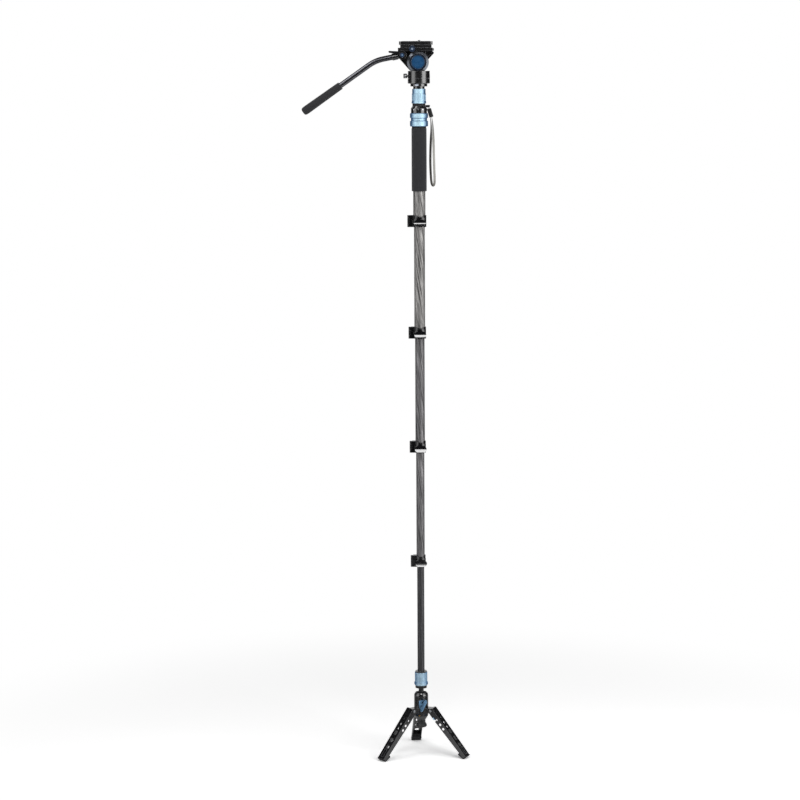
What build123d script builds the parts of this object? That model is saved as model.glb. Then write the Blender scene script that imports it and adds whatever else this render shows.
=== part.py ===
from build123d import *
import os
from math import asin, cos, degrees, radians, sin, tan

# Camera monopod: a five-section shaft with flip locks, a fluid video head on top and
# a three-legged foot with a ball joint below. Millimetres, +Z up, origin on the floor
# under the shaft axis. +X is the way the lens points, the pan bar lies along -X and
# the foot pedal side faces -Y.

os.makedirs("parts", exist_ok=True)

# Clearances
fit = 0.05  # a shaft turning or sliding in its bore, on the radius
bond = 0.02  # pieces pressed, screwed or glued together
gap = 0.3  # pieces that move past each other
cut_over = 1.0  # how far a cut runs past the face that it opens

# Stand body and what it holds
body_radius = 19.0
body_wall = 2.3
body_height = 55.0
body_floor = 15.0
hinge_rise = 19.2  # leg hinges above the underside of the body
taper_drop = 10.0
taper_radius = 11.6
ball_radius = 12.0
ball_depth = 6.0  # ball's centre below the body's rim
cup_depth = 0.5
neck_radius = 6.9
neck_length = 29.0
spindle_radius = 5.0
spindle_length = 10.0
cap_rise = 10.2
cap_mouth = 14.2
knob_neck_radius = 11.3
knob_flare_radius = 15.1
knob_height = 19.5
knob_skirt = 6.0
knob_shaft_radius = 4.0

# Legs: places along a leg are measured from its hinge pin, inward is towards its open side
leg_count = 3
first_leg_turn = 95.8  # degrees round the shaft from +X
quarter_turn = 90.0
leg_slope = 51.4  # degrees below level when the legs are out
hinge_radius = 32.7
pin_radius = 2.5
pin_head_radius = 3.6
pin_head = 1.2
ear_radius = 5.2
leg_length = 152.8
leg_width = 26.0
leg_wall = 2.0
web_outside = 8.0
leg_over = 2.5
root_depth = 16.0
end_depth = 9.4
taper_start_share = 0.177
small_hole_radius = 2.3
big_hole_radius = 3.4
hole_shares = (0.193, 0.294, 0.387)
hole_in = 0.3
window_width = 11.0
window_shares = ((0.44, 0.52), (0.59, 0.67), (0.735, 0.795))
window_corner = 3.5
clip_shares = (0.815, 0.965)
clip_width = 11.0
clip_groove = 0.6

# Rubber feet
foot_plug = 24.0
foot_lip = 2.6
foot_lip_width = 27.0
foot_lip_out = 0.5
foot_lip_in = 3.0
foot_skin = 2.0
foot_flat = 1.2
heel_length = 20.4
heel_rise = 7.4
heel_shares = ((0.0, 0.74), (0.07, 0.96), (0.18, 1.0), (0.54, 0.70), (0.81, 0.49))

# Leg latches
latch_start = 16.0
latch_length = 10.0
latch_in = 1.5
latch_depth = 5.1
latch_tab = 2.2
latch_travel = 4.0

# Foot pedal
pedal_turn = first_leg_turn + 180.0
pedal_hinge_out = 3.6
pedal_hinge_drop = 8.0
pedal_slope = 53.0
pedal_thick = 3.0
pedal_lug_radius = 3.2
pedal_lug_width = 8.0
pedal_ear = 2.7
pedal_pin_radius = 1.5
pedal_length = 35.0
pedal_width = 23.0
pedal_outline_shares = ((0.08, -0.40), (0.0, 0.42), (0.23, 0.56), (0.57, 0.26), (0.95, -0.04),
                        (1.0, -0.22), (0.9, -0.36), (0.4, -0.44))
stop_turn = 254.4
stop_rise = 4.6
stop_radius = 2.0

# Lower socket and the blue twist sleeve round it
socket_height = 46.0
socket_rim_radius = 15.5
socket_core_radius = 14.2
socket_foot = 7.4
socket_lip = 3.2
socket_floor = 4.0
lower_sleeve_radius = 16.8
lower_flange_radius = 18.3
lower_flange = 6.0
flange_lift = 1.6
flute_count = 24
flute_radius = 0.9

# Carbon tubes, the widest on top
shaft_radius = 16.0
tube_wall = 1.0
tube_spaces = (0.8, 0.7, 0.6, 0.5)  # between a tube's bore and the next tube
first_tube_step = 342.7  # each tube's bare length and one lock, from the top down
second_tube_step = 293.3
third_tube_step = 303.7
fourth_tube_step = 307.8
fifth_tube_step = 300.5
tube_steps = (first_tube_step, second_tube_step, third_tube_step, fourth_tube_step, fifth_tube_step)
tube_overlap = 60.0
bush_length = 18.0

# Flip locks
lock_height = 31.0
lock_wall = 2.4
lock_shoulder = 2.0
ear_reach = 9.5
back_ear_reach = 6.5
ear_depth = 7.2
slit = 1.6
knuckle_radius = 3.6
knuckle_front = 3.5
lever_height = 20.0
lever_hub_height = 14.0
lever_neck_height = 6.0
lever_thick = 2.6
lever_away = 0.5
lever_end_turn = 326.0
hinge_pin_radius = 1.5
bolt_place = 3.3
bolt_radius = 2.0
bolt_head_radius = 3.4
bolt_head = 2.8
scallop_radius = 16.0
scallop_depth = 4.2
scallop_right = 2.0

# Hub at the top of the shaft, from the top down
upper_sleeve_height = 37.3
upper_sleeve_radius = 18.2
upper_shoulder_radius = 17.3
upper_shoulder = 12.0
upper_flange_radius = 18.9
upper_flange = 4.6
waist = 6.7
strap_ring_height = 18.1
strap_ring_radius = 21.0
strap_ring_taper = 6.0
strap_ring_top_radius = 17.4
lug_reach = 7.6
lug_height = 5.8
lug_rise = 2.5
lug_width = 13.0
lug_slot_length = 5.2
lug_wall = 1.6
ring_height = 34.4
ring_radius = 23.5
groove_radius = 21.0
groove_rise = 15.0
groove_height = 6.0
ring_edge = 1.5
grip_space = 4.0
grip_length = 164.2
grip_radius = 19.7
grip_round = 1.5

# Platform that the head screws on
plug_depth = 17.0
neck_plate_radius = 15.0
neck_plate = 6.4
platform_radius = 22.0
platform_thick = 7.2
stud_radius = 4.76
stud_floor = 4.0
stud_rise = 9.9

# Wrist strap, flat webbing
strap_width = 8.0
strap_thick = 1.4

# Head base and pan housing
base_radius = 29.0
base_thick = 13.6
base_chamfer = 1.5
pan_spindle_radius = 9.0
pan_spindle_rise = 8.0
pan_step_radius = 25.0
pan_step_rise = 1.4
housing_height = 18.8
housing_slot_depth = 9.3
tilt_back = 2.4
tilt_rise = 22.3
yoke_inside = 16.0
yoke_thick = 4.0
yoke_radius = 26.8
drum_radius = 28.2
drum_thick = 4.0
drum_bevel = 3.4
drum_bevel_slope = 60.0  # degrees off the drum's axis
cap_radius = 21.6
cap_thick = 6.0
cap_edge = 1.6
axle_radius = 5.0
pan_knob_radius = 6.0
pan_knob_rise = 5.9
pan_knob_away = 1.4
pan_knob_thick = 9.6
pan_knob_shaft_radius = 2.5
pan_knob_shaft_short = 3.0
tilt_lever_hub_radius = 9.0
tilt_lever_thick = 6.5
tilt_lever_reach = 42.5
tilt_lever_rise = 28.8
tilt_lever_shares = ((-0.06, 0.28), (0.10, -0.26), (0.67, 0.29), (1.0, 0.82), (0.965, 0.955),
                     (0.87, 1.0), (0.54, 0.59))

# Tilt frame, plate seat and plate
hub_radius = 20.0
web_thick = 12.0
frame_back = 54.0
frame_front = 36.0
frame_half_width = 25.0
frame_rise = 28.8  # underside of the saddle above the tilt axis
saddle_thick = 8.2
rail_rise = 7.6
seat_inset = 6.0
web_shares = ((-1.0, 1.0), (-1.0, 0.36), (-0.393, -0.59), (-0.1, -0.53), (0.52, 0.0), (0.69, 0.354),
              (1.0, 0.71), (1.0, 1.0))
dovetail_foot = 19.0
dovetail_neck = 15.0
plate_back = 51.2
plate_front = 35.7
plate_thick = 8.5
plate_corner = 6.0
screw_front = 1.0
screw_radius = 3.1
screw_neck_radius = 2.6
screw_head_radius = 8.0
screw_head = 3.0
screw_rise = 3.4
screw_slot = 42.0
screw_slot_front = 16.0
plate_pin_shares = (0.165, 0.38)
plate_pin_radius = 1.7
plate_pin_rise = 0.9
plate_knob_back = 17.3
plate_knob_drop = 2.8
plate_knob_radius = 8.0
plate_knob_thick = 8.0
plate_knob_away = 3.2
plate_knob_shaft_radius = 2.0
plate_knob_flutes = 8
jaw_tongue = 9.4
button_radius = 3.2
button_rise = 3.2
button_side = 12.0
button_lift = 3.7
button_length = 12.0

# Pan bar
rosette_back = 43.0
rosette_drop = 10.8
rosette_radius = 11.3
rosette_boss_radius = 10.5
rosette_thick = 15.4
bar_out = 11.2  # bar's middle line outside the plate seat
bar_radius = 7.2
bar_wall = 1.2
bar_socket_radius = 9.0
bar_socket_length = 15.0
bar_start = 11.6
bar_near_reach = 69.0
bar_near_drop = 13.5
bar_far_reach = 90.6
bar_far_drop = 63.4
bar_bend_radius = 100.0
bar_grip_length = 119.2
bar_grip_root_radius = 9.9
bar_grip_tip_radius = 11.0
bar_grip_end = 6.0
bar_knob_radius = 7.5
bar_knob_thick = 7.0
bar_bolt_radius = 3.0
bar_bolt_length = 30.0
wing_thick = 4.0
wing_away = 1.6
wing_reach = 36.0
wing_rise = 11.0
wing_shares = ((-0.05, 0.64), (-0.3, 0.9), (-0.92, 1.0), (-1.0, 0.82), (-0.94, 0.55), (-0.36, 0.27),
               (-0.16, -0.27))

# Heights, from the floor up
foot_end = leg_length + bond + foot_lip
hinge_height = (foot_end * sin(radians(leg_slope)) + foot_lip_in * cos(radians(leg_slope)) - foot_flat)
body_low = hinge_height - hinge_rise
body_rim = body_low + body_height
ball_height = body_rim - ball_depth
cup_top = body_rim - cup_depth
pedal_hinge_radius = body_radius + pedal_hinge_out
pedal_hinge_height = body_rim - pedal_hinge_drop
stop_height = body_low + stop_rise
socket_low = ball_height + neck_length
socket_rim = socket_low + socket_height
lock_heights = [socket_rim + sum(tube_steps[number:]) for number in range(1, len(tube_steps))]
tube_top = socket_rim + sum(tube_steps)
tube_radii = [shaft_radius]
for space in tube_spaces:
    tube_radii.append(tube_radii[-1] - tube_wall - space)

# Heights in the hub and the head
upper_sleeve_high = tube_top - fit
upper_sleeve_low = upper_sleeve_high - upper_sleeve_height
strap_ring_high = upper_sleeve_low - waist
strap_ring_low = strap_ring_high - strap_ring_height
lug_high = strap_ring_high + lug_rise
lug_low = lug_high - lug_height
ring_high = strap_ring_low - gap
ring_low = ring_high - ring_height
groove_low = ring_low + groove_rise
groove_high = groove_low + groove_height
grip_high = ring_low - grip_space
grip_low = grip_high - grip_length
plug_low = tube_top - plug_depth
platform_low = tube_top + neck_plate
platform_high = platform_low + platform_thick
stud_low = plug_low + stud_floor
stud_high = platform_high + stud_rise
base_low = platform_high + bond
base_joint = base_low + base_thick
housing_low = base_joint + gap
housing_high = housing_low + housing_height
housing_slot_low = housing_high - housing_slot_depth
tilt_x = -tilt_back
tilt_z = housing_high + tilt_rise
saddle_low = tilt_z + frame_rise
saddle_high = saddle_low + saddle_thick
seat_high = saddle_high + rail_rise
plate_low = seat_high + gap
plate_high = plate_low + plate_thick


def keep(piece, name):
    """Labels a finished piece and writes it as a file of its own."""
    piece.part.label = name
    export_step(piece.part, f"parts/{name}.step")


def spin(points, mode=Mode.ADD):
    """Turns a closed outline of (radius, height) points round the shaft axis."""
    with BuildSketch(Plane.XZ) as outline:
        with BuildLine():
            Polyline(*points, close=True)
        make_face()
    revolve(outline.sketch, axis=Axis.Z, mode=mode)


def ring(inner, outer, low, high, mode=Mode.ADD):
    """A plain ring or disc round the shaft axis."""
    spin([(inner, low), (outer, low), (outer, high), (inner, high)], mode)


def block(x, y, z, mode=Mode.ADD):
    """A block between (low, high) places on each axis."""
    with BuildSketch(Plane.XY.offset(z[0])) as outline:
        with Locations(((x[0] + x[1]) / 2, (y[0] + y[1]) / 2)):
            Rectangle(x[1] - x[0], y[1] - y[0])
    extrude(outline.sketch, amount=z[1] - z[0], mode=mode)


def facing_front(y):
    """A plane at the given depth that faces -Y, with x to the right and z up."""
    return Plane(origin=(0, y, 0), x_dir=(1, 0, 0), z_dir=(0, -1, 0))


def facing_right(x):
    """A plane at the given place along X that faces +X, with y and z in it."""
    return Plane(origin=(x, 0, 0), x_dir=(0, 1, 0), z_dir=(1, 0, 0))


def rod_y(centre, radius, front, back, mode=Mode.ADD):
    """A round bar along Y through an (x, z) centre."""
    with BuildSketch(facing_front(back)) as outline:
        with Locations(centre):
            Circle(radius)
    extrude(outline.sketch, amount=back - front, mode=mode)


def rod_z(centre, radius, low, high, mode=Mode.ADD):
    """A round bar along Z through an (x, y) centre."""
    with BuildSketch(Plane.XY.offset(low)) as outline:
        with Locations(centre):
            Circle(radius)
    extrude(outline.sketch, amount=high - low, mode=mode)


def rod_x(centre, radius, left, right, mode=Mode.ADD):
    """A round bar along X through a (y, z) centre."""
    with BuildSketch(facing_right(left)) as outline:
        with Locations(centre):
            Circle(radius)
    extrude(outline.sketch, amount=right - left, mode=mode)


def plate_y(points, front, back, mode=Mode.ADD):
    """A flat plate with an (x, z) outline between two depths."""
    with BuildSketch(facing_front(back)) as outline:
        with BuildLine():
            Polyline(*points, close=True)
        make_face()
    extrude(outline.sketch, amount=back - front, mode=mode)


def outward(turn):
    """The level direction away from the shaft at a turn in degrees."""
    return Vector(cos(radians(turn)), sin(radians(turn)), 0)


def sloped_plane(turn, radius, height, slope):
    """A plane through a hinge: x runs down the slope, y inward, z along the hinge."""
    out = outward(turn)
    down = out * cos(radians(slope)) - Vector(0, 0, 1) * sin(radians(slope))
    along = outward(turn + quarter_turn)
    return Plane(origin=out * radius + Vector(0, 0, height), x_dir=down, z_dir=along)


def slab(plane, points, half, mode=Mode.ADD):
    """An outline on a plane, thickened the same way to both sides."""
    with BuildSketch(plane) as outline:
        with BuildLine():
            Polyline(*points, close=True)
        make_face()
    extrude(outline.sketch, amount=half, both=True, mode=mode)


def pin_on(plane, centre, radius, half, mode=Mode.ADD):
    """A round pin square to a plane, the same length to both sides."""
    with BuildSketch(plane) as outline:
        with Locations(centre):
            Circle(radius)
    extrude(outline.sketch, amount=half, both=True, mode=mode)


# Stand: body, ball joint, pedal
body_bore = body_radius - body_wall
body_floor_top = body_low + body_floor
leg_turns = [first_leg_turn + 360 / leg_count * number for number in range(leg_count)]
leg_inside = leg_width / 2 - leg_wall
ear_half = leg_inside - gap - bond
pedal_plane = sloped_plane(pedal_turn, pedal_hinge_radius, pedal_hinge_height, pedal_slope)
pedal_ear_half = pedal_lug_width / 2 + gap + pedal_ear
stop_plane = Plane(origin=Vector(0, 0, stop_height), x_dir=(0, 0, 1), z_dir=outward(stop_turn))
taper_low = body_low - taper_drop

with BuildPart() as stand_body:
    spin([(0, taper_low), (taper_radius, taper_low), (body_radius - body_wall / 2, body_low),
          (body_radius, body_low + body_wall), (body_radius, body_rim), (0, body_rim)])
    for turn in leg_turns:
        upright = sloped_plane(turn, 0, 0, 0)
        slab(upright, [(body_radius / 2, -hinge_height - 2 * ear_radius),
                       (body_radius / 2, -hinge_height - ear_radius),
                       (hinge_radius, -hinge_height - ear_radius),
                       (hinge_radius, -hinge_height + ear_radius),
                       (body_radius, -hinge_height + 2 * ear_radius),
                       (body_radius / 2, -hinge_height + 2 * ear_radius)], ear_half)
        pin_on(upright, (hinge_radius, -hinge_height), ear_radius, ear_half)
        pin_on(upright, (hinge_radius, -hinge_height), pin_radius + bond, leg_width, Mode.SUBTRACT)
    pedal_upright = sloped_plane(pedal_turn, 0, 0, 0)
    slab(pedal_upright, [(body_radius / 2, -pedal_hinge_height - pedal_lug_radius),
                         (pedal_hinge_radius, -pedal_hinge_height - pedal_lug_radius),
                         (pedal_hinge_radius, -pedal_hinge_height + pedal_lug_radius),
                         (body_radius / 2, -pedal_hinge_height + 3 * pedal_lug_radius)], pedal_ear_half)
    pin_on(pedal_upright, (pedal_hinge_radius, -pedal_hinge_height), pedal_lug_radius, pedal_ear_half)
    pin_on(pedal_upright, (pedal_hinge_radius, -pedal_hinge_height), pedal_pin_radius + bond,
           2 * pedal_ear_half, Mode.SUBTRACT)
    slab(pedal_upright, [(body_radius + bond, -pedal_hinge_height - 3 * pedal_lug_radius),
                         (pedal_hinge_radius * 2, -pedal_hinge_height - 3 * pedal_lug_radius),
                         (pedal_hinge_radius * 2, -pedal_hinge_height + 4 * pedal_lug_radius),
                         (body_radius + bond, -pedal_hinge_height + 4 * pedal_lug_radius)],
         pedal_lug_width / 2 + gap, Mode.SUBTRACT)
    ring(0, body_bore, body_floor_top, body_rim + cut_over, Mode.SUBTRACT)
    ring(0, knob_shaft_radius + gap, taper_low - cut_over, body_floor_top + cut_over, Mode.SUBTRACT)
    with BuildSketch(stop_plane.offset(body_radius * 3 / 4)):
        Circle(stop_radius + bond)
    extrude(amount=body_radius, mode=Mode.SUBTRACT)
keep(stand_body, "stand_body")

with BuildPart() as ball_cap:
    spin([(body_bore + body_wall / 4, body_rim + bond), (body_radius, body_rim + bond),
          (body_radius, body_rim + cap_rise / 4), (body_radius - body_wall / 2, body_rim + cap_rise * 2 / 3),
          (body_radius - body_wall * 3 / 2, body_rim + cap_rise - gap), (cap_mouth + gap, body_rim + cap_rise),
          (cap_mouth, body_rim + cap_rise - body_wall / 2), (cap_mouth + gap, body_rim + cap_rise - body_wall),
          (body_bore - body_wall / 2, body_rim + cap_rise / 2)])
keep(ball_cap, "ball_cap")

with BuildPart() as swivel_cup:
    ring(0, body_bore - gap, body_floor_top + gap, cup_top)
    with Locations((0, 0, ball_height)):
        Sphere(ball_radius + gap, mode=Mode.SUBTRACT)
keep(swivel_cup, "swivel_cup")

with BuildPart() as ball_stem:
    with Locations((0, 0, ball_height)):
        Sphere(ball_radius)
    ring(0, neck_radius, ball_height, socket_low - gap)
    ring(0, spindle_radius, ball_height, socket_low + spindle_length)
keep(ball_stem, "ball_stem")

knob_top = taper_low - gap
knob_low = knob_top - knob_height
with BuildPart() as tension_knob:
    spin([(0, knob_low), (knob_flare_radius - body_wall, knob_low), (knob_flare_radius, knob_low + body_wall),
          (knob_flare_radius, knob_low + knob_skirt), (knob_neck_radius, knob_low + 2 * knob_skirt),
          (knob_neck_radius, knob_top), (0, knob_top)])
    ring(0, knob_shaft_radius, knob_low, body_floor_top)
keep(tension_knob, "tension_knob")

blade_in = pedal_lug_radius + gap + bond
with BuildPart() as foot_pedal:
    blade_plane = Plane(origin=pedal_plane.origin - pedal_plane.y_dir * blade_in,
                        x_dir=pedal_plane.x_dir, z_dir=-pedal_plane.y_dir)
    with BuildSketch(blade_plane):
        with BuildLine():
            Polyline(*[(along * pedal_length, across * pedal_width) for along, across in pedal_outline_shares],
                     close=True)
        make_face()
    extrude(amount=pedal_thick)
    pin_on(pedal_plane, (0, 0), pedal_lug_radius, pedal_lug_width / 2)
    slab(pedal_plane, [(0, 0), (0, -blade_in - pedal_thick / 2),
                       (2 * pedal_lug_radius, -blade_in - pedal_thick / 2),
                       (pedal_lug_radius, 0)], pedal_lug_width / 2)
    pin_on(pedal_plane, (0, 0), pedal_pin_radius + fit, pedal_lug_width, Mode.SUBTRACT)
keep(foot_pedal, "foot_pedal")

with BuildPart() as pedal_pins:
    pin_on(pedal_plane, (0, 0), pedal_pin_radius, pedal_ear_half)
    with BuildSketch(stop_plane.offset(body_radius * 3 / 4 + bond)):
        Circle(stop_radius)
    extrude(amount=body_radius / 4 + stop_radius / 2)
keep(pedal_pins, "pedal_pins")

# Legs with their feet, latches and pins
web_inside = web_outside - leg_wall
end_in = end_depth - web_outside
root_in = root_depth - web_outside
heel_start = foot_end - heel_length
heel = [(heel_start + along * heel_length, inward * heel_rise) for along, inward in heel_shares]
heel.append((foot_end, foot_lip_in))
taper_start = leg_length * taper_start_share
hole_places = [leg_length * share for share in hole_shares]
latch_end = latch_start + latch_length
latch_deep = latch_in + latch_depth
clip_length = leg_length * (clip_shares[1] - clip_shares[0])


def flange_edge(along):
    """How far in a leg's side walls reach at a place along the tapered part."""
    return root_in - (along - taper_start) * (root_in - end_in) / (leg_length - taper_start)


foot_reach = hinge_radius + foot_end
floor_cut = ((-foot_reach, foot_reach), (-foot_reach, foot_reach), (-foot_end, 0))

for number, turn in enumerate(leg_turns, start=1):
    leg_plane = sloped_plane(turn, hinge_radius, hinge_height, leg_slope)
    web_plane = Plane(origin=leg_plane.origin - leg_plane.y_dir * web_outside,
                      x_dir=leg_plane.x_dir, z_dir=-leg_plane.y_dir)

    with BuildPart() as leg:
        slab(leg_plane, [(-leg_over, -web_outside), (leg_length, -web_outside), (leg_length, end_in),
                         (taper_start, root_in), (0, root_in), (-ear_radius / 2, root_in - leg_wall),
                         (-ear_radius, ear_radius / 2), (-ear_radius, -ear_radius / 2)], leg_width / 2)
        slab(leg_plane, [(-2 * ear_radius, -web_inside), (leg_length + cut_over, -web_inside),
                         (leg_length + cut_over, root_depth), (-2 * ear_radius, root_depth)],
             leg_inside, Mode.SUBTRACT)
        pin_on(leg_plane, (0, 0), pin_radius + fit, leg_width, Mode.SUBTRACT)
        pin_on(leg_plane, (hole_places[0], hole_in), small_hole_radius, leg_width, Mode.SUBTRACT)
        for place in hole_places[1:]:
            pin_on(leg_plane, (place, hole_in), big_hole_radius, leg_width, Mode.SUBTRACT)
        with BuildSketch(web_plane.offset(cut_over)):
            with Locations((hole_places[0], 0)):
                Circle(small_hole_radius)
            with Locations(*[(place, 0) for place in hole_places[1:]]):
                Circle(big_hole_radius)
            for low, high in window_shares:
                with Locations((leg_length * (low + high) / 2, 0)):
                    RectangleRounded(leg_length * (high - low), window_width, window_corner)
        extrude(amount=-leg_wall - 2 * cut_over, mode=Mode.SUBTRACT)
        with BuildSketch(web_plane):
            with Locations((leg_length * sum(clip_shares) / 2, 0)):
                Rectangle(clip_length, clip_width)
                Rectangle(clip_length - 4 * clip_groove, clip_width - 4 * clip_groove, mode=Mode.SUBTRACT)
        extrude(amount=-clip_groove, mode=Mode.SUBTRACT)
        with BuildSketch(leg_plane.offset(-leg_inside + cut_over)):
            with BuildLine():
                Polyline((latch_start + latch_tab - gap, latch_in + latch_tab - gap),
                         (latch_end + latch_travel + gap, latch_in + latch_tab - gap),
                         (latch_end + latch_travel + gap, root_depth),
                         (latch_start + latch_tab - gap, root_depth), close=True)
            make_face()
        extrude(amount=-leg_wall - 2 * cut_over, mode=Mode.SUBTRACT)
    keep(leg, f"leg_{number}")

    with BuildPart() as leg_foot:
        slab(leg_plane, [(leg_length - foot_plug, -web_inside + bond), (foot_end, -web_inside + bond),
                         (foot_end, flange_edge(foot_end)),
                         (leg_length - foot_plug, flange_edge(leg_length - foot_plug))], leg_inside - bond)
        slab(leg_plane, heel + [(foot_end, flange_edge(foot_end) - foot_skin),
                                (heel[0][0], flange_edge(heel[0][0]) - foot_skin)], leg_inside - bond)
        slab(leg_plane, heel + [(foot_end, flange_edge(foot_end) + bond),
                                (heel[0][0], flange_edge(heel[0][0]) + bond)], leg_width / 2)
        slab(leg_plane, [(leg_length + bond, -web_outside - foot_lip_out), (foot_end, -web_outside - foot_lip_out),
                         (foot_end, foot_lip_in), (leg_length + bond, foot_lip_in)], foot_lip_width / 2)
        block(*floor_cut, mode=Mode.SUBTRACT)
    keep(leg_foot, f"leg_foot_{number}")

    with BuildPart() as leg_latch:
        slab(leg_plane, [(latch_start, latch_in), (latch_end, latch_in),
                         (latch_end, latch_deep), (latch_start, latch_deep)], leg_inside - gap)
        with BuildSketch(leg_plane.offset(-leg_inside + 2 * gap)):
            with BuildLine():
                Polyline((latch_start + latch_tab, latch_in + latch_tab),
                         (latch_end - gap, latch_in + latch_tab), (latch_end - gap, latch_deep),
                         (latch_start + latch_tab, latch_deep), close=True)
            make_face()
        extrude(amount=-leg_wall - latch_tab - 2 * gap)
    keep(leg_latch, f"leg_latch_{number}")

with BuildPart() as leg_pins:
    for turn in leg_turns:
        leg_plane = sloped_plane(turn, hinge_radius, hinge_height, leg_slope)
        pin_on(leg_plane, (0, 0), pin_radius, leg_width / 2 + gap + pin_head)
        for side in (-1, 1):
            with BuildSketch(leg_plane.offset(side * (leg_width / 2 + gap))):
                Circle(pin_head_radius)
            extrude(amount=side * pin_head)
keep(leg_pins, "leg_pins")

# Lower socket, its twist sleeve and the five tubes
with BuildPart() as lower_socket:
    spin([(0, socket_low), (socket_rim_radius - fit, socket_low), (socket_rim_radius, socket_low + fit),
          (socket_rim_radius, socket_low + socket_foot), (socket_core_radius, socket_low + socket_foot),
          (socket_core_radius, socket_rim - socket_lip), (socket_rim_radius, socket_rim - socket_lip),
          (socket_rim_radius, socket_rim), (0, socket_rim)])
    ring(0, spindle_radius + fit, socket_low - cut_over, socket_low + spindle_length + gap, Mode.SUBTRACT)
    ring(0, tube_radii[-1] + bond, socket_low + spindle_length + gap + socket_floor,
         socket_rim + cut_over, Mode.SUBTRACT)
keep(lower_socket, "lower_socket")

sleeve_low = socket_low + socket_foot + gap / 2
sleeve_high = socket_rim - socket_lip - gap / 2
with BuildPart() as lower_collar:
    spin([(socket_core_radius + fit, sleeve_low), (lower_sleeve_radius - gap, sleeve_low),
          (lower_sleeve_radius - gap, sleeve_low + flange_lift),
          (lower_flange_radius, sleeve_low + flange_lift + gap),
          (lower_flange_radius, sleeve_low + flange_lift + lower_flange),
          (lower_sleeve_radius, sleeve_low + flange_lift + lower_flange + gap),
          (lower_sleeve_radius, sleeve_high), (socket_core_radius + fit, sleeve_high)])
    with BuildSketch(Plane.XY.offset(sleeve_low + flange_lift + lower_flange + 2 * flute_radius)):
        with PolarLocations(lower_sleeve_radius + flute_radius / 3, flute_count):
            Circle(flute_radius)
    extrude(until=Until.LAST, mode=Mode.SUBTRACT)
keep(lower_collar, "lower_collar")

tube_lows = [height - lock_shoulder for height in lock_heights]
tube_lows.append(socket_low + spindle_length + gap + socket_floor + bond)
tube_highs = [tube_top] + [height + tube_overlap for height in lock_heights]
for number, (radius, low, high) in enumerate(zip(tube_radii, tube_lows, tube_highs), start=1):
    with BuildPart() as tube:
        ring(radius - tube_wall, radius, low + bond, high)
        if number > 1:
            ring(radius + bond, tube_radii[number - 2] - tube_wall - fit, high - bush_length, high)
    keep(tube, f"tube_{number}")

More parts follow.
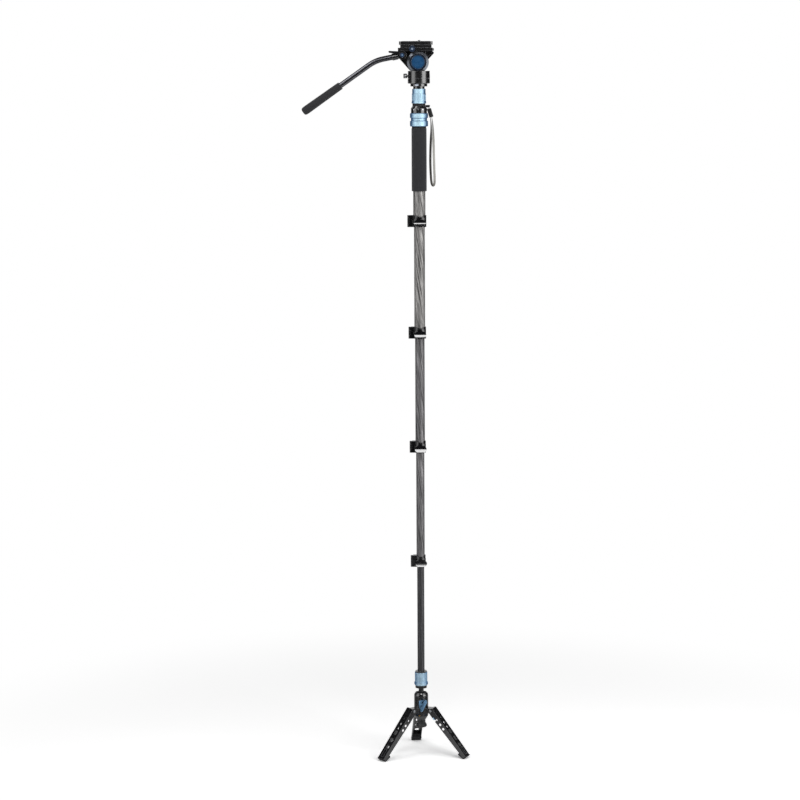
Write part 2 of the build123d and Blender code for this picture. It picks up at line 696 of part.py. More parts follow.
# Flip locks
half_height = lock_height / 2
for number, middle in enumerate(lock_heights, start=1):
    upper = tube_radii[number - 1]
    lower = tube_radii[number]
    shell = upper + lock_wall
    low, high = middle - half_height, middle + half_height
    hinge = (-shell - ear_reach, -knuckle_front)

    with BuildPart() as lock_collar:
        ring(0, shell, low, high)
        block((-shell - ear_reach, 0), (-ear_depth, -slit / 2), (low, high))
        block((-shell - back_ear_reach, 0), (slit / 2, ear_depth), (low, high))
        rod_z(hinge, knuckle_radius, low, high)
        ring(0, upper + bond, middle - lock_shoulder, high + cut_over, Mode.SUBTRACT)
        ring(0, lower + fit, low - cut_over, high, Mode.SUBTRACT)
        block((-shell - ear_reach, -lower), (-slit / 2, slit / 2), (low - cut_over, high + cut_over),
              Mode.SUBTRACT)
        with BuildSketch(facing_front(0)):
            with Locations((scallop_right, high + scallop_radius - scallop_depth),
                           (scallop_right, low - scallop_radius + scallop_depth)):
                Circle(scallop_radius)
        extrude(amount=shell + cut_over, mode=Mode.SUBTRACT)
        rod_z(hinge, knuckle_radius + gap, middle - lever_hub_height / 2 - gap,
              middle + lever_hub_height / 2 + gap, Mode.SUBTRACT)
        rod_z(hinge, hinge_pin_radius + bond, low - cut_over, high + cut_over, Mode.SUBTRACT)
        rod_y((-shell - bolt_place, middle), bolt_radius + bond, -ear_depth - cut_over,
              ear_depth + cut_over, Mode.SUBTRACT)
    keep(lock_collar, f"lock_collar_{number}")

    inside = shell + lever_away
    outside = inside + lever_thick
    front = ear_depth + lever_away
    start_turn = 180 + degrees(asin(front / inside))
    with BuildPart() as lock_lever:
        with BuildSketch(Plane.XY.offset(middle - lever_height / 2)):
            with BuildLine():
                arc_in = CenterArc((0, 0), inside, start_turn, lever_end_turn - start_turn)
                arc_out = CenterArc((0, 0), outside, start_turn, lever_end_turn - start_turn)
                Line(arc_in @ 1, arc_out @ 1)
                Line(arc_in @ 0, arc_out @ 0)
            make_face()
            with BuildLine():
                Polyline(hinge, (hinge[0] + knuckle_radius / 4, -front), arc_in @ 0, arc_out @ 0,
                         (-upper, -front - lever_thick), (hinge[0] + knuckle_radius / 2, -front - lever_thick),
                         (hinge[0] - knuckle_radius, hinge[1] - knuckle_radius / 3), close=True)
            make_face()
        extrude(amount=lever_height)
        with BuildSketch(facing_front(0)):
            with BuildLine():
                Spline((-upper, middle + lever_neck_height / 2), (scallop_right, middle + lever_height / 2),
                       (outside + cut_over, middle + lever_height / 3),
                       tangents=((1, 1), (1, -1 / 3)))
                Line((outside + cut_over, middle + lever_height / 3),
                     (outside + cut_over, middle - lever_height / 3))
                Spline((outside + cut_over, middle - lever_height / 3),
                       (scallop_right, middle - lever_height / 2), (-upper, middle - lever_neck_height / 2),
                       tangents=((-1, -1 / 3), (-1, 1)))
                Polyline((-upper, middle - lever_neck_height / 2),
                         (hinge[0] - 2 * knuckle_radius, middle - lever_hub_height / 2),
                         (hinge[0] - 2 * knuckle_radius, middle + lever_hub_height / 2),
                         (-upper, middle + lever_neck_height / 2))
            make_face()
        extrude(amount=2 * outside, both=True, mode=Mode.INTERSECT)
        rod_z(hinge, knuckle_radius, middle - lever_hub_height / 2, middle + lever_hub_height / 2)
        rod_z(hinge, hinge_pin_radius + fit, low, high, Mode.SUBTRACT)
    keep(lock_lever, f"lock_lever_{number}")

    with BuildPart() as lock_pins:
        rod_z(hinge, hinge_pin_radius, low + gap, high - gap)
        rod_y((-shell - bolt_place, middle), bolt_radius, -ear_depth + gap, ear_depth + bolt_head)
        rod_y((-shell - bolt_place, middle), bolt_head_radius, ear_depth + bond, ear_depth + bolt_head)
    keep(lock_pins, f"lock_pins_{number}")

# Grip, rings and the top of the shaft
lug_end = strap_ring_radius + lug_reach
lug_slot = (lug_end - lug_wall - lug_slot_length, lug_end - lug_wall)
with BuildPart() as foam_grip:
    spin([(shaft_radius + bond, grip_low), (grip_radius - grip_round, grip_low), (grip_radius, grip_low + grip_round),
          (grip_radius, grip_high - grip_round), (grip_radius - grip_round, grip_high),
          (shaft_radius + bond, grip_high)])
keep(foam_grip, "foam_grip")

with BuildPart() as grip_ring:
    spin([(shaft_radius + fit, ring_low), (ring_radius - ring_edge, ring_low), (ring_radius, ring_low + ring_edge),
          (ring_radius, groove_low - ring_edge), (groove_radius, groove_low), (groove_radius, groove_high),
          (ring_radius, groove_high + ring_edge), (ring_radius, ring_high - ring_edge),
          (ring_radius - ring_edge, ring_high), (shaft_radius + fit, ring_high)])
keep(grip_ring, "grip_ring")

with BuildPart() as strap_ring:
    spin([(shaft_radius + fit, strap_ring_low), (strap_ring_radius, strap_ring_low),
          (strap_ring_radius, strap_ring_high - strap_ring_taper), (strap_ring_top_radius, strap_ring_high),
          (shaft_radius + fit, strap_ring_high)])
    block((strap_ring_top_radius - gap, lug_end), (-lug_width / 2, lug_width / 2), (lug_low, lug_high))
    block(lug_slot, (-strap_width / 2 - gap, strap_width / 2 + gap), (lug_low - cut_over, lug_high + cut_over),
          Mode.SUBTRACT)
    fillet(strap_ring.edges().filter_by(Axis.Z).group_by(Axis.X)[-1], strap_thick)
keep(strap_ring, "strap_ring")

# The strap's middle line, from the lug down round the loop and up again, in (x, z)
strap_points = ((25.4, 1732.0), (26.2, 1724.5), (29.6, 1716.5), (32.6, 1705.5), (34.9, 1692.0), (36.6, 1674.0),
                (37.4, 1650.0), (38.1, 1620.0), (38.8, 1588.0), (39.5, 1562.0), (40.3, 1544.0), (40.2, 1532.0),
                (38.3, 1524.6), (34.7, 1524.3), (32.1, 1531.0), (30.6, 1546.0), (29.6, 1566.0), (29.0, 1590.0),
                (29.6, 1618.0), (30.8, 1644.0), (31.9, 1668.0), (31.3, 1688.0), (29.3, 1703.0), (26.4, 1714.0),
                (23.6, 1722.5), (22.9, 1732.0))
strap_vectors = [Vector(x, z) for x, z in strap_points]
strap_radii = []
for before, at, after in zip(strap_vectors, strap_vectors[1:], strap_vectors[2:]):
    turn = (at - before).get_angle(after - at)
    shorter = min((at - before).length, (after - at).length)
    strap_radii.append(0.45 * shorter / tan(radians(turn / 2)))

with BuildPart() as wrist_strap:
    with BuildSketch(facing_front(strap_width / 2)):
        with BuildLine() as strap_line:
            FilletPolyline(*strap_points, radius=strap_radii)
        strap_length = strap_line.line.length if hasattr(strap_line.line, "length") else 0
        trace(strap_line.line, line_width=strap_thick)
    extrude(amount=strap_width)
keep(wrist_strap, "wrist_strap")

with BuildPart() as upper_collar:
    spin([(shaft_radius + fit, upper_sleeve_low), (upper_flange_radius, upper_sleeve_low),
          (upper_flange_radius, upper_sleeve_low + upper_flange),
          (upper_sleeve_radius, upper_sleeve_low + upper_flange + gap),
          (upper_sleeve_radius, upper_sleeve_high - upper_shoulder),
          (upper_shoulder_radius, upper_sleeve_high - upper_shoulder + gap),
          (upper_shoulder_radius, upper_sleeve_high), (shaft_radius + fit, upper_sleeve_high)])
    with BuildSketch(Plane.XY.offset(upper_sleeve_low + upper_flange + 2 * flute_radius)):
        with PolarLocations(upper_sleeve_radius + flute_radius / 3, flute_count):
            Circle(flute_radius)
    extrude(amount=upper_sleeve_high - upper_shoulder - upper_sleeve_low - upper_flange - 4 * flute_radius,
            mode=Mode.SUBTRACT)
keep(upper_collar, "upper_collar")

with BuildPart() as top_platform:
    ring(0, shaft_radius - tube_wall - bond, plug_low, tube_top + bond)
    ring(0, neck_plate_radius, tube_top + bond, platform_low)
    ring(0, platform_radius, platform_low, platform_high)
    ring(0, stud_radius + bond, stud_low, platform_high + cut_over, Mode.SUBTRACT)
keep(top_platform, "top_platform")

with BuildPart() as head_screw:
    ring(0, stud_radius, stud_low + bond, stud_high)
keep(head_screw, "head_screw")

# Head base, pan housing, drum rings, caps and axle
spindle_high = base_joint + pan_spindle_rise
tilt_centre = (tilt_x, tilt_z)
yoke_outside = yoke_inside + yoke_thick
drum_outside = yoke_outside + drum_thick
cap_outside = drum_outside + bond + cap_thick
pan_knob_height = housing_low + pan_knob_rise
pan_knob_right = -base_radius - pan_knob_away
pan_knob_left = pan_knob_right - pan_knob_thick
pan_knob_shaft_end = -pan_spindle_radius - pan_knob_shaft_short

with BuildPart() as head_base:
    spin([(0, base_low), (base_radius - base_chamfer, base_low), (base_radius, base_low + base_chamfer),
          (base_radius, base_joint), (pan_step_radius, base_joint), (pan_step_radius, base_joint + pan_step_rise),
          (pan_spindle_radius, base_joint + pan_step_rise), (pan_spindle_radius, spindle_high),
          (0, spindle_high)])
    ring(0, stud_radius + bond, base_low - cut_over, stud_high + gap, Mode.SUBTRACT)
keep(head_base, "head_base")

with BuildPart() as pan_housing:
    ring(0, base_radius, housing_low, housing_high)
    for side in (-1, 1):
        front, back = sorted((side * yoke_inside, side * yoke_outside))
        rod_y(tilt_centre, yoke_radius, front, back)
    block((-2 * base_radius, 2 * base_radius), (-2 * base_radius, 2 * base_radius),
          (housing_low - base_radius, housing_low), Mode.SUBTRACT)
    block((-2 * base_radius, 2 * base_radius), (-web_thick / 2 - 2 * gap, web_thick / 2 + 2 * gap),
          (housing_slot_low, housing_high + cut_over), Mode.SUBTRACT)
    block((-2 * base_radius, 2 * base_radius), (-yoke_inside, yoke_inside),
          (housing_high, housing_high + cut_over), Mode.SUBTRACT)
    ring(0, pan_spindle_radius + fit, housing_low - cut_over, spindle_high + gap, Mode.SUBTRACT)
    ring(0, pan_step_radius + gap, housing_low - cut_over, housing_low + pan_step_rise, Mode.SUBTRACT)
    rod_y(tilt_centre, axle_radius + bond, -2 * base_radius, 2 * base_radius, Mode.SUBTRACT)
    rod_x((0, pan_knob_height), pan_knob_shaft_radius + fit, -base_radius - cut_over,
          pan_knob_shaft_end + gap, Mode.SUBTRACT)
keep(pan_housing, "pan_housing")

with BuildPart() as tilt_drum:
    for side in (-1, 1):
        rim = side * (drum_outside - drum_bevel)
        front, back = sorted((side * (yoke_outside + bond), rim))
        rod_y(tilt_centre, drum_radius, front, back)
        with BuildSketch(Plane(origin=(0, rim, 0), x_dir=(-side, 0, 0), z_dir=(0, side, 0))):
            with Locations((-side * tilt_x, tilt_z)):
                Circle(drum_radius)
        extrude(amount=drum_bevel, taper=drum_bevel_slope)
        rod_y(tilt_centre, axle_radius + bond, -drum_outside - cut_over, drum_outside + cut_over, Mode.SUBTRACT)
    block((tilt_x - 2 * drum_radius, tilt_x + 2 * drum_radius), (-2 * drum_radius, 2 * drum_radius),
          (housing_low, housing_high + bond), Mode.SUBTRACT)
keep(tilt_drum, "tilt_drum")

with BuildPart() as side_caps:
    for side in (-1, 1):
        near, far = side * (drum_outside + bond), side * cap_outside
        rod_y(tilt_centre, cap_radius - cap_edge, min(near, far), max(near, far))
        step = far - side * cap_edge
        rod_y(tilt_centre, cap_radius, min(near, step), max(near, step))
    rod_y(tilt_centre, axle_radius + bond, -drum_outside - cap_thick / 2, cap_outside + cut_over,
          Mode.SUBTRACT)
keep(side_caps, "side_caps")

lever_front = cap_outside + gap
lever_back = lever_front + tilt_lever_thick
with BuildPart() as tilt_axle:
    rod_y(tilt_centre, axle_radius, -drum_outside - cap_thick / 2 + bond, lever_back - gap)
keep(tilt_axle, "tilt_axle")

with BuildPart() as tilt_lock_lever:
    rod_y(tilt_centre, tilt_lever_hub_radius, lever_front, lever_back)
    plate_y([(tilt_x + tilt_lever_reach * x, tilt_z + tilt_lever_rise * z) for x, z in tilt_lever_shares],
            lever_front, lever_back)
    rod_y(tilt_centre, axle_radius + fit, lever_front - cut_over, lever_back + cut_over, Mode.SUBTRACT)
keep(tilt_lock_lever, "tilt_lock_lever")

with BuildPart() as pan_lock_knob:
    rod_x((0, pan_knob_height), pan_knob_radius, pan_knob_left, pan_knob_right)
    chamfer(pan_lock_knob.edges().filter_by(GeomType.CIRCLE), base_chamfer / 2)
    rod_x((0, pan_knob_height), pan_knob_shaft_radius, pan_knob_left + pan_knob_thick / 2,
          pan_knob_shaft_end)
keep(pan_lock_knob, "pan_lock_knob")

# Tilt frame with the plate seat
web_half = web_thick / 2
hub_half = yoke_inside - gap
frame_left = -frame_back
frame_right = frame_front
web_outline = [(tilt_x + x * (frame_back - tilt_back if x < 0 else frame_front + tilt_back),
                tilt_z + z * (saddle_high - tilt_z)) for x, z in web_shares]
rosette_x = -rosette_back
rosette_z = saddle_low - rosette_drop
rosette = (rosette_x, rosette_z)
bar_y = -frame_half_width - bar_out
bar_back = bar_y + rosette_thick / 2
bar_front = bar_y - rosette_thick / 2
rail = [(frame_half_width, saddle_high), (dovetail_foot + gap, saddle_high),
        (dovetail_neck + gap, seat_high), (frame_half_width, seat_high)]
plate_knob_x = -plate_knob_back
plate_knob_z = saddle_high - plate_knob_drop
knob_centre = (plate_knob_x, plate_knob_z)
button_place = (-button_side, saddle_low + button_lift)
tongue = (plate_knob_x - jaw_tongue / 2, plate_knob_x + jaw_tongue / 2)
tongue_low = plate_knob_z - jaw_tongue / 2
tongue_front = -frame_half_width + cut_over
tongue_back = tongue_front + jaw_tongue / 2

with BuildPart() as tilt_frame:
    rod_y(tilt_centre, hub_radius, -hub_half, hub_half)
    plate_y(web_outline, -web_half, web_half)
    block((tilt_x - hub_radius, tilt_x + hub_radius), (-hub_half, hub_half), (tilt_z, saddle_high))
    block((frame_left, frame_right), (-frame_half_width, frame_half_width), (saddle_low, saddle_high))
    rod_y(rosette, rosette_boss_radius, bar_back + gap, -web_half)
    with BuildSketch(facing_right(frame_left + seat_inset)):
        with BuildLine():
            Polyline(*rail, close=True)
        make_face()
    extrude(amount=frame_right - frame_left - 1.5 * seat_inset)
    rod_y(tilt_centre, axle_radius + fit, -2 * hub_half, 2 * hub_half, Mode.SUBTRACT)
    block((tongue[0] - gap, tongue[1] + gap), (-frame_half_width - cut_over, tongue_back + gap),
          (tongue_low - gap, saddle_high + cut_over), Mode.SUBTRACT)
    rod_y(knob_centre, plate_knob_shaft_radius + fit, -frame_half_width - cut_over,
          tongue_back + 2 * jaw_tongue, Mode.SUBTRACT)
    rod_y(rosette, bar_bolt_radius + fit, bar_back, web_half + cut_over, Mode.SUBTRACT)
    rod_x(button_place, button_radius + fit, frame_right - button_length - button_rise,
          frame_right + cut_over, Mode.SUBTRACT)
keep(tilt_frame, "tilt_frame")

with BuildPart() as plate_jaw:
    with BuildSketch(facing_right(frame_left + seat_inset)):
        with BuildLine():
            Polyline(*[(-y, z + gap * (z == saddle_high)) for y, z in rail], close=True)
        make_face()
    extrude(amount=frame_right - frame_left - 1.5 * seat_inset)
    block(tongue, (tongue_front, tongue_back), (tongue_low, saddle_high + 2 * gap))
    rod_y(knob_centre, plate_knob_shaft_radius + gap, -frame_half_width - cut_over,
          tongue_back + cut_over, Mode.SUBTRACT)
keep(plate_jaw, "plate_jaw")

plate_knob_rear = -frame_half_width - plate_knob_away
with BuildPart() as plate_lock_knob:
    rod_y(knob_centre, plate_knob_radius, plate_knob_rear - plate_knob_thick, plate_knob_rear)
    with BuildSketch(facing_front(plate_knob_rear)):
        with Locations(knob_centre):
            with PolarLocations(plate_knob_radius + flute_radius, plate_knob_flutes):
                Circle(2 * flute_radius)
    extrude(amount=plate_knob_thick, mode=Mode.SUBTRACT)
    rod_y(knob_centre, plate_knob_shaft_radius, plate_knob_rear, tongue_back + 1.5 * jaw_tongue)
keep(plate_lock_knob, "plate_lock_knob")

with BuildPart() as release_button:
    rod_x(button_place, button_radius, frame_right - button_length, frame_right + button_rise)
keep(release_button, "release_button")

# Camera plate and screw
plate_left = -plate_back
plate_right = plate_front
slot_left = screw_slot_front - screw_slot
plate_pin_places = [plate_left + (plate_right - plate_left) * share for share in plate_pin_shares]
dovetail_left = plate_left + plate_corner
dovetail_right = plate_right - plate_corner
dovetail_low = saddle_high + gap
screw_head_low = dovetail_low + gap
with BuildPart() as camera_plate:
    with BuildSketch(Plane.XY.offset(plate_low)):
        with Locations(((plate_left + plate_right) / 2, 0)):
            RectangleRounded(plate_right - plate_left, 2 * frame_half_width, plate_corner)
    extrude(amount=plate_high - plate_low)
    with BuildSketch(facing_right(dovetail_left)):
        with BuildLine():
            Polyline((-dovetail_foot, dovetail_low), (dovetail_foot, dovetail_low),
                     (dovetail_neck, plate_low), (-dovetail_neck, plate_low), close=True)
        make_face()
    extrude(amount=dovetail_right - dovetail_left)
    with BuildSketch(Plane.XY.offset(dovetail_low - cut_over)):
        with Locations(((slot_left + screw_slot_front) / 2, 0)):
            SlotOverall(screw_slot + 2 * (screw_head_radius - screw_radius), 2 * (screw_head_radius + gap))
    extrude(amount=screw_head_low + screw_head + gap - dovetail_low + cut_over, mode=Mode.SUBTRACT)
    with BuildSketch(Plane.XY.offset(dovetail_low)):
        with Locations(((slot_left + screw_slot_front) / 2, 0)):
            SlotOverall(screw_slot, 2 * (screw_radius + fit))
    extrude(amount=plate_high - dovetail_low + cut_over, mode=Mode.SUBTRACT)
    with BuildSketch(Plane.XY.offset(plate_high)):
        with Locations(*[(place, frame_half_width / 2) for place in plate_pin_places]):
            Circle(plate_pin_radius)
    extrude(amount=plate_pin_rise)
keep(camera_plate, "camera_plate")

with BuildPart() as camera_screw:
    rod_z((screw_front, 0), screw_head_radius, screw_head_low, screw_head_low + screw_head)
    rod_z((screw_front, 0), screw_neck_radius, screw_head_low, plate_high + gap)
    rod_z((screw_front, 0), screw_radius, plate_high + gap, plate_high + screw_rise)
keep(camera_screw, "camera_screw")

# Pan bar with its rosette, knob and grip
bar_pivot = Vector(*rosette)
bar_bend = bar_pivot - Vector(bar_near_reach, bar_near_drop)
bar_grip_start = bar_bend - Vector(bar_far_reach, bar_far_drop)
bar_direction = (bar_bend - bar_pivot).normalized()
grip_direction = (bar_grip_start - bar_bend).normalized()
bar_near = bar_pivot + bar_direction * bar_start
bar_far = bar_grip_start + grip_direction * (bar_grip_length - 2 * bar_grip_end)


def in_bar_plane(point):
    """Lifts an (x, z) point into the upright plane that the pan bar lies in."""
    return Vector(point.X, bar_y, point.Y)


bar_root_plane = Plane(origin=in_bar_plane(bar_near),
                       x_dir=(0, 1, 0), z_dir=in_bar_plane(bar_near + bar_direction) - in_bar_plane(bar_near))
clamp_root_plane = Plane(origin=in_bar_plane(bar_pivot), x_dir=(0, 1, 0), z_dir=bar_root_plane.z_dir)

with BuildPart() as pan_bar_clamp:
    rod_y(rosette, rosette_radius, bar_front, bar_back)
    with BuildSketch(clamp_root_plane):
        Circle(rosette_thick / 2 - bond)
    extrude(amount=bar_start)
    with BuildSketch(bar_root_plane.offset(-bond)):
        Circle(bar_socket_radius)
    extrude(amount=bar_socket_length)
    with BuildSketch(bar_root_plane.offset(-bond)):
        Circle(bar_radius + bond)
    extrude(amount=bar_socket_length, mode=Mode.SUBTRACT)
    rod_y(rosette, bar_bolt_radius + fit, bar_front - cut_over, bar_back + cut_over, Mode.SUBTRACT)
keep(pan_bar_clamp, "pan_bar_clamp")

with BuildPart() as pan_bar:
    with BuildLine():
        FilletPolyline(in_bar_plane(bar_near), in_bar_plane(bar_bend), in_bar_plane(bar_far),
                       radius=bar_bend_radius)
    with BuildSketch(bar_root_plane):
        Circle(bar_radius)
        Circle(bar_radius - bar_wall, mode=Mode.SUBTRACT)
    sweep()
keep(pan_bar, "pan_bar")

grip_dir = in_bar_plane(bar_grip_start + grip_direction) - in_bar_plane(bar_grip_start)
grip_plane = Plane(origin=in_bar_plane(bar_grip_start), x_dir=grip_dir, z_dir=(0, -1, 0))
with BuildPart() as pan_bar_grip:
    with BuildSketch(grip_plane):
        with BuildLine():
            Polyline((0, bar_radius + bond), (0, bar_grip_root_radius - gap),
                     (2 * gap, bar_grip_root_radius + gap),
                     (bar_grip_length - 2 * bar_grip_end, bar_grip_tip_radius),
                     (bar_grip_length - bar_grip_end, bar_grip_tip_radius - gap),
                     (bar_grip_length - gap * 3, bar_grip_tip_radius * 2 / 3),
                     (bar_grip_length, bar_grip_tip_radius / 4), (bar_grip_length, 0),
                     (bar_grip_length - 2 * bar_grip_end + bond, 0),
                     (bar_grip_length - 2 * bar_grip_end + bond, bar_radius + bond), close=True)
        make_face()
    revolve(axis=Axis(grip_plane.origin, grip_dir))
keep(pan_bar_grip, "pan_bar_grip")

knob_back = bar_front - gap
with BuildPart() as pan_bar_knob:
    rod_y(rosette, bar_knob_radius, knob_back - bar_knob_thick, knob_back)
    plate_y([(rosette_x + wing_reach * x, rosette_z + wing_rise * z) for x, z in wing_shares],
            knob_back - wing_away - wing_thick, knob_back - wing_away)
    rod_y(rosette, bar_bolt_radius, knob_back, knob_back + bar_bolt_length)
keep(pan_bar_knob, "pan_bar_knob")

print("strap radii", [round(radius, 1) for radius in strap_radii])
print("strap length", round(strap_line.wires()[0].length, 1), "volume", round(wrist_strap.part.volume),
      "against", round(strap_line.wires()[0].length * strap_width * strap_thick))
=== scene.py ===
from math import cos, pi, radians, sin

import bmesh
import bpy
from mathutils import Matrix, Vector


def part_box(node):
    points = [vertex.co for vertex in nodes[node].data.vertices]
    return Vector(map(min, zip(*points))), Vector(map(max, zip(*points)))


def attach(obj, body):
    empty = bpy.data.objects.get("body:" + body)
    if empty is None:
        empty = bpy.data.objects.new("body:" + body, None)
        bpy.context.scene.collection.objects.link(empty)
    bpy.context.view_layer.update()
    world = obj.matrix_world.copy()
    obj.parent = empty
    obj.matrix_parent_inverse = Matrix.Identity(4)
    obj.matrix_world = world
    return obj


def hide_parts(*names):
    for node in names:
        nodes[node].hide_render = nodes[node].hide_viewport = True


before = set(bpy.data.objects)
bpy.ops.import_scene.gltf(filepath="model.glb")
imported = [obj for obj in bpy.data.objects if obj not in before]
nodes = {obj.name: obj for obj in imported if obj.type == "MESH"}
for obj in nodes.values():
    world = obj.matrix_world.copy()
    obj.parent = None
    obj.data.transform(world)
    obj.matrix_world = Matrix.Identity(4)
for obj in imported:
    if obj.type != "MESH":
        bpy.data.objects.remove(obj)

# Camera monopod with a video head and fold-out legs, dressed over its solids.
# Metres, +Z up, the floor at zero; sizes named in millimetres are turned by MM.
MM = 0.001
scene = bpy.context.scene
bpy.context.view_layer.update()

# Camera, where the photograph was taken from
lens = bpy.data.cameras.new("camera")
camera = bpy.data.objects.new("camera", lens)
scene.collection.objects.link(camera)
lens.sensor_width = 36.0
lens.lens = 108.0
lens.clip_end = 60.0
camera.matrix_world = (Matrix.Translation((-0.0530, -6.288, 1.7987)) @ Matrix.Rotation(radians(82.4), 4, "X")
                       @ Matrix.Rotation(radians(-0.283), 4, "Z"))
scene.camera = camera
scene.view_settings.view_transform = "Standard"

# ---------------------------------------------------------------- wrist strap
strap_width = 8.0 * MM
strap_thick = 1.4 * MM
strap_length = 0.4209
# the loop's route as (x, z) in mm, from the lug down the outer run and back up the inner one
strap_route = ((25.4, 1732.0), (26.2, 1724.5), (29.6, 1716.5), (32.6, 1705.5), (34.9, 1692.0), (36.6, 1674.0),
               (37.4, 1650.0), (38.1, 1620.0), (38.8, 1588.0), (39.5, 1562.0), (40.3, 1544.0), (40.2, 1532.0),
               (38.3, 1524.6), (34.7, 1524.3), (32.1, 1531.0), (30.6, 1546.0), (29.6, 1566.0), (29.0, 1590.0),
               (29.6, 1618.0), (30.8, 1644.0), (31.9, 1668.0), (31.3, 1688.0), (29.3, 1703.0), (26.4, 1714.0),
               (23.6, 1722.5), (22.9, 1732.0))


def pick(piece):
    """Makes a piece the active one and the only one selected."""
    bpy.ops.object.select_all(action="DESELECT")
    bpy.context.view_layer.objects.active = piece
    piece.select_set(True)


def shaped(piece, name, kind, **settings):
    """Puts a modifier on the active piece and applies it."""
    modifier = piece.modifiers.new(name, kind)
    for key, value in settings.items():
        setattr(modifier, key, value)
    bpy.ops.object.modifier_apply(modifier=modifier.name)


def spline_points(name, route):
    """The points along one smooth line through a route of (x, z) control points."""
    curve = bpy.data.curves.new(name, "CURVE")
    curve.dimensions = "3D"
    curve.resolution_u = 16
    spline = curve.splines.new("NURBS")
    spline.points.add(len(route) - 1)
    for point, (x, z) in zip(spline.points, route):
        point.co = (x * MM, 0.0, z * MM, 1.0)
    spline.order_u = 3
    spline.use_endpoint_u = True
    line = bpy.data.objects.new(name, curve)
    scene.collection.objects.link(line)
    bpy.context.view_layer.update()
    sampled = bpy.data.meshes.new_from_object(line.evaluated_get(bpy.context.evaluated_depsgraph_get()))
    points = [vertex.co.copy() for vertex in sampled.vertices]
    bpy.data.objects.remove(line)
    return points


def webbing_band(name, points, width, thick, twist):
    """A flat woven band along a line in the XZ plane, laid out across and along.

    Its width starts along Y in the lug's slot and turns by the twist, in degrees, where it hangs free."""
    across = (-1.0, -0.82, -0.45, 0.0, 0.45, 0.82, 1.0)
    # shares of the length at which the twist starts and is undone again, and over which it builds up
    twist_from, twist_until, twist_over = 0.08, 0.92, 0.13
    mesh = bpy.data.meshes.new(name)
    band = bpy.data.objects.new(name, mesh)
    scene.collection.objects.link(band)
    shape = bmesh.new()
    layout = shape.loops.layers.uv.new("weave")
    travelled = [0.0]
    for point, following in zip(points, points[1:]):
        travelled.append(travelled[-1] + (following - point).length)
    rows = []
    for index, point in enumerate(points):
        along = (points[min(index + 1, len(points) - 1)] - points[max(index - 1, 0)]).normalized()
        share = travelled[index] / travelled[-1]
        turn = radians(twist) * max(0.0, min(1.0, (share - twist_from) / twist_over,
                                                (twist_until - share) / twist_over))
        side = Vector((0.0, cos(turn), 0.0)) + Vector((-along.z, 0.0, along.x)) * sin(turn)
        rows.append([shape.verts.new(point + side * place * width / 2) for place in across])
    for index in range(len(rows) - 1):
        for column in range(len(across) - 1):
            face = shape.faces.new((rows[index][column], rows[index][column + 1],
                                    rows[index + 1][column + 1], rows[index + 1][column]))
            face.smooth = True
            corners = ((column, index), (column + 1, index), (column + 1, index + 1), (column, index + 1))
            for loop, (place, row) in zip(face.loops, corners):
                loop[layout].uv = (across[place] * width / 2, travelled[row])
    shape.to_mesh(mesh)
    shape.free()
    pick(band)
    shaped(band, "thickness", "SOLIDIFY", thickness=thick, offset=0.0)
    shaped(band, "soft edge", "BEVEL", width=thick * 0.35, segments=2, limit_method="ANGLE")
    return band


strap_line = spline_points("strap_line", strap_route)
strap = webbing_band("wrist_strap_webbing", strap_line, strap_width, strap_thick, 38.0)
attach(strap, "strap")
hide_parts("wrist_strap")

# ---------------------------------------------------------------- light and floor
world = bpy.data.worlds.new("studio")
scene.world = world
world.use_nodes = True


def linear(colour):
    """An sRGB hex colour as the linear values that a shader takes."""
    values = [int(colour[place:place + 2], 16) / 255 for place in (1, 3, 5)]
    return (*[value / 12.92 if value <= 0.04045 else ((value + 0.055) / 1.055) ** 2.4 for value in values], 1.0)


def node(tree, kind, settings=None, links=None):
    """Adds a node to a tree, with its settings and what runs into it."""
    made = tree.nodes.new(kind)
    for key, value in (settings or {}).items():
        if isinstance(key, int) or key in made.inputs:
            made.inputs[key].default_value = value
        else:
            setattr(made, key, value)
    for key, socket in (links or {}).items():
        tree.links.new(socket, made.inputs[key])
    return made


sky = world.node_tree
sky.nodes.clear()
rays = node(sky, "ShaderNodeLightPath")
glossy_or_seen = node(sky, "ShaderNodeMath", {"operation": "MAXIMUM"},
                      {0: rays.outputs["Is Camera Ray"], 1: rays.outputs["Is Glossy Ray"]})
seen = node(sky, "ShaderNodeMath", {"operation": "MAXIMUM"},
            {0: glossy_or_seen.outputs[0], 1: rays.outputs["Is Transmission Ray"]})
plain_light = node(sky, "ShaderNodeBackground", {"Color": linear("#FFFFFF"), "Strength": 0.28})
background = node(sky, "ShaderNodeBackground", {"Color": linear("#FFFFFF"), "Strength": 1.0})
both = node(sky, "ShaderNodeMixShader", None, {0: seen.outputs[0], 1: plain_light.outputs[0],
                                               2: background.outputs[0]})
node(sky, "ShaderNodeOutputWorld", None, {"Surface": both.outputs[0]})


def softbox(name, place, aim, width, height, brightness):
    """A rectangular lamp at a place, turned to a point; brightness 1 looks white in a mirror."""
    lamp = bpy.data.lights.new(name, "AREA")
    lamp.shape = "RECTANGLE"
    lamp.size = width
    lamp.size_y = height
    lamp.energy = brightness * pi * width * height
    stand = bpy.data.objects.new(name, lamp)
    scene.collection.objects.link(stand)
    stand.location = place
    stand.rotation_euler = (Vector(aim) - Vector(place)).to_track_quat("-Z", "Y").to_euler()
    stand.visible_camera = False
    return stand


softbox("left_box", (-1.55, -0.86, 1.15), (0.0, 0.0, 1.15), 1.10, 2.3, 0.95)
softbox("right_box", (1.42, -1.06, 1.15), (0.0, 0.0, 1.15), 1.20, 2.3, 2.6)
softbox("high_box", (-0.78, -0.55, 2.68), (-0.15, 0.0, 1.82), 0.70, 0.45, 6.0)
softbox("front_box", (0.14, -1.45, 2.78), (0.0, 0.0, 0.90), 0.80, 0.66, 6.0)


